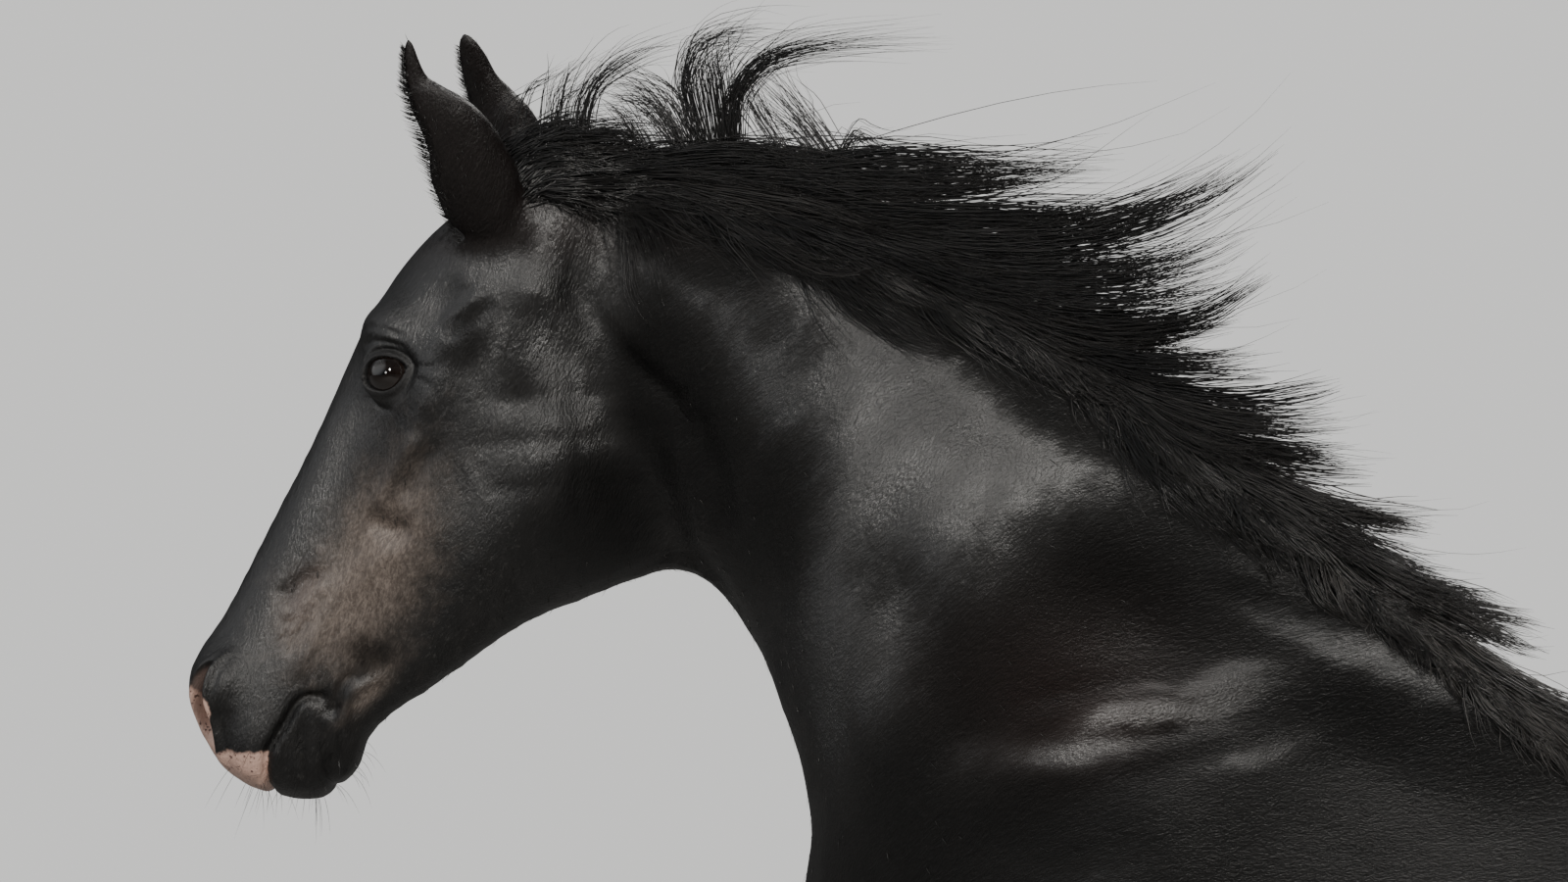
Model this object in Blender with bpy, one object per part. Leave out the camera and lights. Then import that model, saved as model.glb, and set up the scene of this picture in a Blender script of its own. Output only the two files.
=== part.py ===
"""A life-size black horse, standing, with its head raised and its mane blown back.

The horse looks along -X, its left side faces -Y, and +Z is up. The floor is at Z = 0 and the
origin lies on the floor under the middle of the whole model. Lengths are in metres.
Flesh solids reach to the tips of the short coat. The mane, forelock, tail and fetlock feather
are solids of their own, out to the hair's outline.
"""

import math

import bmesh
import bpy
import numpy as np
from mathutils import Vector
from mathutils.bvhtree import BVHTree

# Driving dimensions
ORIGIN_SHIFT = -0.040  # moves the horse along X so that the origin is under its middle
HEAD_PITCH = math.radians(63.5)  # how steeply the face points down from level
POLL = (-0.912, 2.195)  # X and Z of the top of the head, between the ears
GAP = 0.0004  # clearance between neighbouring solids
BODY_VOXEL = 0.0085
HAIR_VOXEL = 0.0085
CUT_MARGIN = 0.03
HEAD_TRIANGLES = 1500
NECK_TRIANGLES = 400
TRUNK_TRIANGLES = 1360
LEG_TRIANGLES = {"fore": 310, "hind": 380}
MANE_TRIANGLES = 410
TAIL_TRIANGLES = 320

COAT_BLACK = (0.018, 0.016, 0.015, 1.0)
HAIR_BLACK = (0.010, 0.009, 0.009, 1.0)
HORN_GREY = (0.055, 0.048, 0.042, 1.0)
EYE_BROWN = (0.020, 0.011, 0.007, 1.0)

# Depths below the top line, as shares of a section's height, where half-widths are given
WIDTH_LEVELS = (0.1, 0.3, 0.5, 0.7, 0.9)

# Neck and trunk: the top line's X and Z, the under line's X and Z, then five half-widths
TRUNK_STATIONS = (
    (-0.898, 2.178, -0.845, 1.905, 0.036, 0.058, 0.064, 0.060, 0.040),
    (-0.844, 2.190, -0.765, 1.822, 0.034, 0.066, 0.078, 0.074, 0.046),
    (-0.772, 2.184, -0.730, 1.784, 0.032, 0.066, 0.084, 0.080, 0.048),
    (-0.681, 2.164, -0.699, 1.735, 0.031, 0.064, 0.087, 0.085, 0.050),
    (-0.590, 2.131, -0.680, 1.686, 0.031, 0.063, 0.090, 0.092, 0.055),
    (-0.500, 2.085, -0.664, 1.637, 0.032, 0.066, 0.096, 0.102, 0.062),
    (-0.409, 2.028, -0.655, 1.587, 0.034, 0.074, 0.106, 0.114, 0.072),
    (-0.318, 1.964, -0.660, 1.534, 0.036, 0.084, 0.121, 0.130, 0.085),
    (-0.228, 1.896, -0.669, 1.476, 0.038, 0.096, 0.141, 0.150, 0.100),
    (-0.137, 1.825, -0.674, 1.409, 0.042, 0.110, 0.164, 0.174, 0.116),
    (-0.046, 1.748, -0.674, 1.337, 0.048, 0.127, 0.190, 0.200, 0.132),
    (0.026, 1.688, -0.666, 1.262, 0.055, 0.145, 0.213, 0.223, 0.148),
    (0.090, 1.652, -0.640, 1.170, 0.063, 0.160, 0.232, 0.240, 0.158),
    (0.140, 1.645, -0.575, 1.075, 0.075, 0.178, 0.248, 0.250, 0.162),
    (0.190, 1.632, -0.450, 0.988, 0.090, 0.198, 0.260, 0.256, 0.165),
    (0.250, 1.610, -0.280, 0.925, 0.110, 0.220, 0.271, 0.265, 0.170),
    (0.320, 1.588, -0.060, 0.897, 0.135, 0.240, 0.282, 0.272, 0.175),
    (0.400, 1.572, 0.170, 0.885, 0.155, 0.254, 0.292, 0.280, 0.180),
    (0.500, 1.566, 0.400, 0.886, 0.168, 0.262, 0.296, 0.286, 0.186),
    (0.610, 1.578, 0.600, 0.912, 0.176, 0.262, 0.290, 0.276, 0.180),
    (0.720, 1.603, 0.750, 0.962, 0.180, 0.260, 0.280, 0.250, 0.150),
    (0.830, 1.618, 0.860, 1.020, 0.176, 0.255, 0.270, 0.225, 0.120),
    (0.920, 1.604, 0.950, 1.075, 0.160, 0.238, 0.250, 0.205, 0.105),
    (0.995, 1.566, 1.015, 1.150, 0.125, 0.200, 0.215, 0.180, 0.095),
    (1.050, 1.505, 1.062, 1.255, 0.080, 0.130, 0.145, 0.120, 0.070),
    (1.078, 1.440, 1.082, 1.340, 0.030, 0.050, 0.055, 0.050, 0.030),
)

# Head: distance from the poll, depths of the front and rear outlines, then five half-widths
HEAD_STATIONS = (
    (-0.015, 0.004, 0.085, 0.030, 0.045, 0.050, 0.045, 0.030),
    (0.030, -0.014, 0.110, 0.042, 0.066, 0.072, 0.066, 0.045),
    (0.080, -0.045, 0.127, 0.056, 0.084, 0.087, 0.080, 0.056),
    (0.130, -0.063, 0.170, 0.066, 0.096, 0.094, 0.084, 0.058),
    (0.180, -0.071, 0.226, 0.074, 0.105, 0.098, 0.085, 0.052),
    (0.220, -0.073, 0.257, 0.076, 0.107, 0.098, 0.086, 0.050),
    (0.260, -0.072, 0.268, 0.067, 0.098, 0.094, 0.086, 0.049),
    (0.300, -0.071, 0.256, 0.058, 0.088, 0.090, 0.082, 0.047),
    (0.340, -0.071, 0.223, 0.050, 0.077, 0.084, 0.073, 0.043),
    (0.380, -0.072, 0.187, 0.045, 0.067, 0.071, 0.061, 0.039),
    (0.430, -0.073, 0.157, 0.041, 0.057, 0.058, 0.050, 0.035),
    (0.480, -0.074, 0.130, 0.037, 0.050, 0.050, 0.044, 0.033),
    (0.520, -0.077, 0.106, 0.037, 0.051, 0.052, 0.045, 0.033),
    (0.555, -0.082, 0.096, 0.041, 0.058, 0.056, 0.047, 0.033),
    (0.585, -0.071, 0.094, 0.038, 0.058, 0.056, 0.048, 0.033),
    (0.610, -0.045, 0.083, 0.028, 0.050, 0.052, 0.045, 0.029),
    (0.627, -0.021, 0.061, 0.018, 0.036, 0.040, 0.034, 0.018),
    (0.634, -0.000, 0.041, 0.008, 0.016, 0.018, 0.015, 0.008),
)

# Fore leg, from the shoulder to the hoof's top: X, Z, half-depth, Y, half-width
FORE_STATIONS = (
    (-0.300, 1.340, 0.150, 0.120, 0.060),
    (-0.310, 1.240, 0.205, 0.148, 0.090),
    (-0.275, 1.120, 0.205, 0.165, 0.096),
    (-0.215, 1.010, 0.160, 0.172, 0.088),
    (-0.182, 0.925, 0.120, 0.168, 0.077),
    (-0.172, 0.845, 0.092, 0.163, 0.067),
    (-0.170, 0.755, 0.074, 0.158, 0.058),
    (-0.172, 0.655, 0.059, 0.155, 0.049),
    (-0.176, 0.565, 0.050, 0.153, 0.044),
    (-0.181, 0.510, 0.053, 0.153, 0.050),
    (-0.181, 0.465, 0.053, 0.153, 0.050),
    (-0.174, 0.418, 0.046, 0.153, 0.042),
    (-0.170, 0.365, 0.040, 0.153, 0.034),
    (-0.169, 0.280, 0.037, 0.154, 0.030),
    (-0.168, 0.210, 0.039, 0.154, 0.032),
    (-0.169, 0.165, 0.045, 0.155, 0.039),
    (-0.182, 0.125, 0.039, 0.155, 0.037),
    (-0.200, 0.092, 0.043, 0.155, 0.043),
    (-0.208, 0.060, 0.048, 0.155, 0.048),
)

# Hind leg, from the haunch to the hoof's top: X, Z, half-depth, Y, half-width
HIND_STATIONS = (
    (0.860, 1.480, 0.140, 0.095, 0.080),
    (0.862, 1.370, 0.205, 0.130, 0.118),
    (0.868, 1.240, 0.226, 0.150, 0.134),
    (0.862, 1.120, 0.212, 0.156, 0.128),
    (0.856, 1.010, 0.180, 0.156, 0.108),
    (0.866, 0.905, 0.138, 0.151, 0.086),
    (0.892, 0.805, 0.106, 0.146, 0.068),
    (0.928, 0.712, 0.084, 0.143, 0.055),
    (0.964, 0.645, 0.080, 0.141, 0.047),
    (0.986, 0.590, 0.072, 0.140, 0.048),
    (0.986, 0.535, 0.057, 0.140, 0.044),
    (0.984, 0.475, 0.047, 0.141, 0.037),
    (0.982, 0.380, 0.042, 0.143, 0.033),
    (0.980, 0.280, 0.039, 0.145, 0.031),
    (0.978, 0.210, 0.042, 0.147, 0.034),
    (0.975, 0.165, 0.048, 0.148, 0.040),
    (0.957, 0.125, 0.041, 0.149, 0.038),
    (0.938, 0.092, 0.044, 0.150, 0.043),
    (0.928, 0.060, 0.048, 0.150, 0.047),
)

# How far each foot stands ahead of (-) or behind (+) the square stance
STANCE = {
    "foreleg_left": -0.035,
    "foreleg_right": 0.045,
    "hindleg_left": 0.075,
    "hindleg_right": -0.045,
}
FORE_PIVOT_Z = 1.10
HIND_PIVOT_Z = 1.20

# Muscle and bone forms, mirrored on both sides, as swellings (or hollows) of the smooth body:
# X, Y and Z of the middle, radii along X, Y and Z, tilt of the upright radius to the rear, height
BODY_FORMS = (
    (-0.220, 0.200, 1.370, 0.095, 0.20, 0.270, 36, 0.020),  # shoulder blade
    (-0.225, 0.230, 1.150, 0.120, 0.16, 0.130, 20, 0.026),  # upper arm
    (-0.500, 0.190, 1.210, 0.080, 0.09, 0.090, 0, 0.024),  # point of the shoulder
    (-0.785, 0.000, 1.835, 0.035, 0.050, 0.030, 0, 0.020),  # throat
    (-0.610, 0.095, 1.210, 0.100, 0.075, 0.120, 0, 0.026),  # breast
    (-0.590, 0.000, 1.220, 0.120, 0.030, 0.110, 0, -0.014),  # groove between the breasts
    (-0.070, 0.240, 1.330, 0.050, 0.14, 0.180, 20, -0.010),  # hollow behind the shoulder
    (0.620, 0.230, 1.500, 0.055, 0.08, 0.055, 0, 0.016),  # point of the hip
    (0.560, 0.280, 1.370, 0.070, 0.12, 0.110, -20, -0.020),  # flank
    (0.800, 0.120, 1.590, 0.190, 0.10, 0.080, 0, 0.014),  # croup
    (0.000, 0.000, 1.650, 0.100, 0.05, 0.060, 0, 0.006),  # withers
    (0.860, 0.230, 1.330, 0.170, 0.16, 0.200, 0, 0.026),  # haunch
    (0.990, 0.190, 1.180, 0.080, 0.13, 0.170, 0, 0.014),  # rear of the thigh
    (0.730, 0.200, 1.070, 0.080, 0.11, 0.090, 0, 0.020),  # stifle
    (1.060, 0.110, 1.430, 0.060, 0.06, 0.060, 0, 0.014),  # point of the buttock
    (-0.230, 0.220, 0.930, 0.060, 0.08, 0.110, 0, 0.010),  # forearm
    (0.820, 0.200, 0.930, 0.070, 0.08, 0.110, -20, 0.010),  # gaskin
)

# The same for the head: distance and depth off the poll, Y, radii along, deep and across, height
HEAD_FORMS = (
    (0.195, -0.034, 0.084, 0.026, 0.020, 0.030, 0.014),  # brow
    (0.152, 0.004, 0.088, 0.024, 0.016, 0.030, -0.011),  # hollow over the eye
    (0.262, -0.018, 0.088, 0.014, 0.026, 0.030, -0.006),  # below the eye
    (0.245, 0.024, 0.100, 0.090, 0.011, 0.040, 0.008),  # cheek bone
    (0.205, 0.140, 0.095, 0.075, 0.070, 0.050, 0.009),  # jowl
    (0.105, 0.075, 0.085, 0.028, 0.028, 0.040, 0.007),  # jaw joint
    (0.400, 0.020, 0.070, 0.080, 0.024, 0.030, -0.008),  # hollow before the cheek
    (0.330, -0.050, 0.040, 0.110, 0.012, 0.022, 0.004),  # nose bone's edge
    (0.566, -0.046, 0.046, 0.034, 0.020, 0.026, 0.013),  # nostril's wing
    (0.592, -0.040, 0.056, 0.016, 0.013, 0.022, -0.018),  # nostril
    (0.602, 0.018, 0.036, 0.026, 0.020, 0.030, 0.007),  # upper lip
    (0.580, 0.050, 0.045, 0.050, 0.008, 0.030, -0.010),  # mouth
    (0.598, 0.082, 0.020, 0.026, 0.020, 0.040, 0.007),  # chin
)

# Where the skin is smoothed most, to flow from one form into the next: X, Y, Z and radii
SOFT_PLACES = (
    (0.20, 0.0, 1.30, 1.05, 0.6, 0.42),
    (-0.78, 0.07, 1.92, 0.09, 0.09, 0.20),
)

# Parting planes
NECK_CUT = ((-0.325, 0, 1.650), (-0.500, 0, 0.866))  # a point and the normal
HEAD_CUT = ((-0.828, 0, 2.010), (-0.974, 0, -0.225))
LEG_CUT_Z = 0.872
KNEE_CUT_Z = {"fore": 0.420, "hind": 0.510}
FEATHER_TOP_Z = 0.285

# Eyes
EYE_RADIUS = 0.0215
EYE_PLACE = (0.2300, -0.0180, 0.0800)  # distance and depth off the poll, and Y

# Ear, from the root to the tip: X, Z, Y and radius
EAR_STATIONS = (
    (-0.928, 2.110, 0.056, 0.0285),
    (-0.937, 2.135, 0.061, 0.0305),
    (-0.948, 2.160, 0.067, 0.0315),
    (-0.960, 2.182, 0.072, 0.0318),
    (-0.9685, 2.202, 0.076, 0.0300),
    (-0.9790, 2.2220, 0.080, 0.0252),
    (-0.9950, 2.2440, 0.083, 0.0168),
    (-1.0055, 2.2620, 0.083, 0.0092),
    (-1.0105, 2.2820, 0.083, 0.0052),
    (-1.0135, 2.3010, 0.081, 0.0034),
)
EAR_DEPTH = 1.35  # how much deeper an ear is from front to rear than its radius
EAR_WALL = 0.0045

# The right ear is turned back more than the left: height above its root, how far it is set back
# and raised there, and how much wider it is
RIGHT_EAR = (
    (0.000, 0.000, 0.000, 1.00),
    (0.070, 0.012, 0.001, 1.00),
    (0.110, 0.021, 0.003, 0.97),
    (0.145, 0.026, 0.006, 1.20),
    (0.165, 0.024, 0.009, 1.65),
    (0.191, 0.018, 0.011, 1.80),
)

# Mane by place on the crest (0 at the poll, 1 at the withers): how long its upper hair is, the
# angles above level at which that starts and ends, and how long the hair on the neck's side is
MANE_FLOW = (
    (0.00, 0.170, 30, -30, 0.120),
    (0.06, 0.230, 24, -24, 0.190),
    (0.12, 0.300, 18, -18, 0.200),
    (0.20, 0.330, 12, -10, 0.180),
    (0.28, 0.330, 3, 8, 0.130),
    (0.36, 0.285, -1, 14, 0.100),
    (0.45, 0.235, -8, 9, 0.130),
    (0.55, 0.210, -14, -2, 0.160),
    (0.65, 0.195, -20, -14, 0.130),
    (0.75, 0.180, -27, -24, 0.080),
    (0.86, 0.165, -34, -32, 0.060),
    (1.00, 0.110, -40, -36, 0.050),
)
MANE_LOCKS = 20

# Wisps that fly up from the crest: half-width, then X and Z along each
WISPS = (
    (0.0070, (-0.840, 2.204), (-0.868, 2.250), (-0.826, 2.284), (-0.772, 2.298)),
    (0.0075, (-0.744, 2.200), (-0.772, 2.262), (-0.744, 2.304), (-0.699, 2.315), (-0.672, 2.311)),
    (0.0095, (-0.722, 2.210), (-0.722, 2.257), (-0.690, 2.284), (-0.627, 2.298), (-0.559, 2.302)),
    (0.0070, (-0.715, 2.210), (-0.684, 2.248), (-0.650, 2.238), (-0.626, 2.195)),
)

# Tail's middle line and spread, from the dock down: X, Z, half-depth and half-width
TAIL_STATIONS = (
    (1.030, 1.505, 0.040, 0.042),
    (1.100, 1.500, 0.044, 0.052),
    (1.152, 1.420, 0.058, 0.074),
    (1.176, 1.270, 0.078, 0.096),
    (1.186, 1.080, 0.096, 0.114),
    (1.196, 0.880, 0.104, 0.122),
    (1.212, 0.680, 0.102, 0.118),
    (1.232, 0.490, 0.092, 0.104),
    (1.250, 0.320, 0.074, 0.082),
    (1.262, 0.170, 0.046, 0.052),
)
TAIL_LOCKS = 15
TAIL_WAVE = 0.010


def spline(knots, values, at):
    """Smooth curve through values at knots, read at the points at."""
    knots = np.asarray(knots, float)
    values = np.asarray(values, float)
    steps = np.diff(knots)
    slopes = np.diff(values, axis=0) / steps[:, None]
    tangents = np.empty_like(values)
    tangents[0], tangents[-1] = slopes[0], slopes[-1]
    before, after = steps[:-1, None], steps[1:, None]
    tangents[1:-1] = (slopes[:-1] * after + slopes[1:] * before) / (before + after)
    at = np.clip(at, knots[0], knots[-1])
    i = np.clip(np.searchsorted(knots, at, side="right") - 1, 0, len(steps) - 1)
    h = steps[i][:, None]
    t = ((at - knots[i]) / steps[i])[:, None]
    return (
        (2 * t**3 - 3 * t**2 + 1) * values[i]
        + (t**3 - 2 * t**2 + t) * h * tangents[i]
        + (3 * t**2 - 2 * t**3) * values[i + 1]
        + (t**3 - t**2) * h * tangents[i + 1]
    )


def resample(stations, count):
    """Stations spread evenly along the line through their first two columns."""
    stations = np.asarray(stations, float)
    along = np.concatenate([[0], np.cumsum(np.linalg.norm(np.diff(stations[:, :2], axis=0), axis=1))])
    return spline(along, stations, np.linspace(0, along[-1], count))


def tube_mesh(name, rings, ladder=False):
    """A closed mesh from rings of points, shape (stations, around, 3).

    Each end is closed by a fan, or by a ladder of quads where a ring is a crescent.
    """
    stations, around, _ = rings.shape
    points = np.concatenate([rings.reshape(-1, 3), rings[0].mean(0)[None], rings[-1].mean(0)[None]])
    i = np.arange(stations - 1)[:, None] * around
    j = np.arange(around)[None]
    k = (j + 1) % around
    quads = np.stack([i + j, i + k, i + around + k, i + around + j], -1).reshape(-1, 4)
    first, last = stations * around, stations * around + 1
    base = (stations - 1) * around
    if ladder:
        points = points[:-2]
        rung = np.arange(around // 2 - 1)
        start = np.stack([rung, rung + 1, around - 2 - rung, around - 1 - rung], -1)[:, ::-1]
        end = base + start[:, ::-1]
    else:
        start = np.stack([np.full(around, first), k[0], j[0]], -1)
        end = np.stack([np.full(around, last), base + j[0], base + k[0]], -1)
    mesh = bpy.data.meshes.new(name)
    mesh.from_pydata(points.tolist(), [], quads.tolist() + start.tolist() + end.tolist())
    bm = bmesh.new()
    bm.from_mesh(mesh)
    bmesh.ops.recalc_face_normals(bm, faces=bm.faces)
    bm.to_mesh(mesh)
    bm.free()
    return mesh


def section_rings(tops, bottoms, widths, around=40):
    """Rings between a top and a bottom line, with half-widths given at WIDTH_LEVELS."""
    turn = np.linspace(0, 2 * math.pi, around, endpoint=False)
    depth = (1 - np.cos(turn)) / 2
    round_ends = 2 * np.sqrt(np.array(WIDTH_LEVELS) * (1 - np.array(WIDTH_LEVELS)))
    envelope = spline(WIDTH_LEVELS, (widths / round_ends).T, depth).T
    across = envelope * np.sin(turn)
    line = tops[:, None] + (bottoms - tops)[:, None] * depth[None, :, None]
    return np.stack([line[..., 0], across, line[..., 1]], -1)


def trunk_rings():
    s = resample(TRUNK_STATIONS, 90)
    return section_rings(s[:, 0:2], s[:, 2:4], s[:, 4:])


def head_point(along, depth):
    """X and Z of a point of the head's mid-plane, from its distance and depth off the poll."""
    down = np.array([-math.cos(HEAD_PITCH), -math.sin(HEAD_PITCH)])
    rear = np.array([math.sin(HEAD_PITCH), -math.cos(HEAD_PITCH)])
    return np.array(POLL) + np.multiply.outer(along, down) + np.multiply.outer(depth, rear)


def head_rings():
    stations = np.asarray(HEAD_STATIONS, float)
    s = spline(stations[:, 0], stations, np.linspace(stations[0, 0], stations[-1, 0], 60))
    return section_rings(head_point(s[:, 0], s[:, 1]), head_point(s[:, 0], s[:, 2]), s[:, 3:])


def leg_rings(stations, side, shift, pivot_z, around=24):
    """Level rings down a leg. side is -1 for left; the foot moves shift along X from pivot_z down."""
    s = resample(np.asarray(stations)[:, [1, 0, 2, 3, 4]], 60)
    z, x, deep, y, wide = s.T
    x = x + shift * np.clip((pivot_z - z) / pivot_z, 0, 1)
    turn = np.linspace(0, 2 * math.pi, around, endpoint=False)
    return np.stack(
        [
            x[:, None] + deep[:, None] * np.cos(turn),
            side * y[:, None] + wide[:, None] * np.sin(turn),
            np.broadcast_to(z[:, None], (len(z), around)),
        ],
        -1,
    )


def ball_mesh(name, centre, radii, tilt=0.0, segments=24, rings=12):
    """An ellipsoid, turned by tilt about Y, for muscle masses and eyeballs."""
    bm = bmesh.new()
    bmesh.ops.create_uvsphere(bm, u_segments=segments, v_segments=rings, radius=1.0)
    c, s = math.cos(tilt), math.sin(tilt)
    for v in bm.verts:
        x, y, z = v.co.x * radii[0], v.co.y * radii[1], v.co.z * radii[2]
        v.co = (centre[0] + x * c + z * s, centre[1] + y, centre[2] - x * s + z * c)
    mesh = bpy.data.meshes.new(name)
    bm.to_mesh(mesh)
    bm.free()
    return mesh


def joined(name, meshes):
    """One mesh from several closed ones, moved to the model's origin."""
    bm = bmesh.new()
    for mesh in meshes:
        bm.from_mesh(mesh)
        bpy.data.meshes.remove(mesh)
    bmesh.ops.translate(bm, vec=(ORIGIN_SHIFT, 0, 0), verts=bm.verts)
    mesh = bpy.data.meshes.new(name)
    bm.to_mesh(mesh)
    bm.free()
    return linked(name, mesh)


def evaluated(obj):
    """Bakes an object's modifiers into its mesh."""
    graph = bpy.context.evaluated_depsgraph_get()
    mesh = bpy.data.meshes.new_from_object(obj.evaluated_get(graph))
    obj.modifiers.clear()
    old = obj.data
    obj.data = mesh
    bpy.data.meshes.remove(old)
    return obj


def points_of(mesh):
    points = np.empty(len(mesh.vertices) * 3)
    mesh.vertices.foreach_get("co", points)
    return points.reshape(-1, 3)


def normals_of(mesh):
    normals = np.empty(len(mesh.vertices) * 3)
    mesh.vertex_normals.foreach_get("vector", normals)
    return normals.reshape(-1, 3)


def set_points(mesh, points):
    mesh.vertices.foreach_set("co", points.ravel())
    mesh.update()


def remeshed(obj, voxel):
    """Joins an object's overlapping shells into one closed skin of even squares."""
    remesh = obj.modifiers.new("fuse", "REMESH")
    remesh.mode = "VOXEL"
    remesh.voxel_size = voxel
    return evaluated(obj)


def relax(obj, share, rounds):
    """Moves each point towards its neighbours' mean by share, then back out a little less.

    The step out keeps thin limbs from shrinking where share is small. share may vary by point.
    """
    mesh = obj.data
    edges = np.empty(len(mesh.edges) * 2, dtype=np.int64)
    mesh.edges.foreach_get("vertices", edges)
    a, b = edges.reshape(-1, 2).T
    points = points_of(mesh)
    count = len(points)
    degree = np.bincount(a, minlength=count) + np.bincount(b, minlength=count)
    share = np.broadcast_to(np.asarray(share, float), (count,))
    for turn in range(rounds):
        mean = np.empty_like(points)
        for axis in range(3):
            column = points[:, axis]
            mean[:, axis] = np.bincount(a, column[b], count) + np.bincount(b, column[a], count)
        pull = (mean / degree[:, None] - points) * share[:, None]
        back = np.where(share < 0.45, -1.04, -0.35)[:, None] if turn % 2 else 1.0
        points = points + pull * back
    set_points(mesh, points)


def thinned(obj, triangles):
    """Collapses edges until about so many triangles are left."""
    count = sum(len(p.vertices) - 2 for p in obj.data.polygons)
    thin = obj.modifiers.new("thin_out", "DECIMATE")
    thin.ratio = min(1.0, triangles / count)
    return evaluated(obj)


def bell(points, middle, radii, tilt=0.0):
    """A smooth weight, 1 at middle and fading to 0 at about twice the radii, on both sides."""
    c, s = math.cos(tilt), math.sin(tilt)
    x = points[:, 0] - middle[0]
    y = (np.abs(points[:, 1]) - middle[1]) / radii[1]
    z = points[:, 2] - middle[2]
    u = (x * c - z * s) / radii[0]
    w = (x * s + z * c) / radii[2]
    return np.exp(-1.2 * (u * u + y * y + w * w))


def swell(obj):
    """Raises the muscle and bone forms out of the smooth body, along its normals."""
    points = points_of(obj.data) - np.array([ORIGIN_SHIFT, 0, 0])
    height = np.zeros(len(points))
    for x, y, z, rx, ry, rz, tilt, lift in BODY_FORMS:
        height += lift * bell(points, (x, y, z), (rx, ry, rz), math.radians(tilt))
    for along, deep, y, ra, rd, ry, lift in HEAD_FORMS:
        x, z = head_point(along, deep)
        tilt = math.atan2(-math.cos(HEAD_PITCH), -math.sin(HEAD_PITCH))
        height += lift * bell(points, (x, y, z), (rd, ry, ra), tilt)
    set_points(obj.data, points_of(obj.data) + height[:, None] * normals_of(obj.data))


def half(obj, point, normal, margin=-GAP / 2):
    """What is left of an object on the normal's side of a plane, closed by a flat face.

    The plane is first moved against its normal by margin.
    """
    bm = bmesh.new()
    bm.from_mesh(obj.data)
    normal = Vector(normal).normalized()
    point = Vector(point) + Vector((ORIGIN_SHIFT, 0, 0)) - normal * margin
    geometry = bm.verts[:] + bm.edges[:] + bm.faces[:]
    bmesh.ops.bisect_plane(bm, geom=geometry, dist=1e-7, plane_co=point, plane_no=normal, clear_inner=True)
    rim = [edge for edge in bm.edges if edge.is_boundary]
    bmesh.ops.holes_fill(bm, edges=rim, sides=0)
    mesh = bpy.data.meshes.new(obj.name)
    bm.to_mesh(mesh)
    bm.free()
    return linked(obj.name, mesh)


def region(obj, planes, triangles):
    """The part of an object between planes, thinned a little beyond them and then cut to them."""
    steps = [obj]
    for point, normal in planes:
        steps.append(half(steps[-1], point, normal, CUT_MARGIN))
    thinned(steps[-1], triangles)
    for point, normal in planes:
        steps.append(half(steps[-1], point, normal))
    for step in steps[1:-1]:
        bpy.data.objects.remove(step)
    keep_largest(steps[-1])
    return steps[-1]


def facing(plane, sign):
    point, normal = plane
    return point, [sign * n for n in normal]


def boolean(obj, other, operation="DIFFERENCE"):
    cut = obj.modifiers.new("cut", "BOOLEAN")
    cut.operation = operation
    cut.solver = "EXACT"
    cut.object = other
    return evaluated(obj)


def grown(obj, distance):
    """A copy whose surface stands out by distance, to cut a neighbour with a small gap."""
    copy = obj.copy()
    copy.data = obj.data.copy()
    copy.name = obj.name + "_clearance"
    bpy.context.scene.collection.objects.link(copy)
    mesh = copy.data
    points = np.empty(len(mesh.vertices) * 3)
    mesh.vertices.foreach_get("co", points)
    normals = np.array([v.normal for v in mesh.vertices]).ravel()
    mesh.vertices.foreach_set("co", points + distance * normals)
    mesh.update()
    copy.hide_render = True
    return copy


def material(name, colour, roughness):
    found = bpy.data.materials.get(name)
    if found:
        return found
    made = bpy.data.materials.new(name)
    made.use_nodes = True
    shader = made.node_tree.nodes["Principled BSDF"]
    shader.inputs["Base Color"].default_value = colour
    shader.inputs["Roughness"].default_value = roughness
    shader.inputs["Metallic"].default_value = 0.0
    return made


def finish(obj, mat):
    obj.data.materials.clear()
    obj.data.materials.append(mat)
    obj.data.shade_smooth()
    obj.data.set_sharp_from_angle(angle=math.radians(50))


def build_body():
    """The whole animal's flesh as one closed skin, before it is parted."""
    meshes = [tube_mesh("trunk", trunk_rings()), tube_mesh("head", head_rings())]
    for name, shift in STANCE.items():
        side = -1 if name.endswith("left") else 1
        fore = name.startswith("fore")
        stations = FORE_STATIONS if fore else HIND_STATIONS
        pivot = FORE_PIVOT_Z if fore else HIND_PIVOT_Z
        meshes.append(tube_mesh(name, leg_rings(stations, side, shift, pivot)))
        if not fore:
            point = 1.036 + shift * (pivot - 0.645) / pivot
            meshes.append(ball_mesh("hock_point", (point, side * 0.140, 0.655), (0.026, 0.022, 0.045)))
    body = remeshed(joined("body", meshes), BODY_VOXEL)
    points = points_of(body.data)
    share = np.zeros(len(points))
    for x, y, z, rx, ry, rz in SOFT_PLACES:
        share = np.maximum(share, bell(points, (x, y, z), (rx, ry, rz)) * 1.3)
    relax(body, 0.25 + 0.45 * np.clip(share, 0, 1), 70)
    swell(body)
    relax(body, 0.3, 6)
    return body


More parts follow.
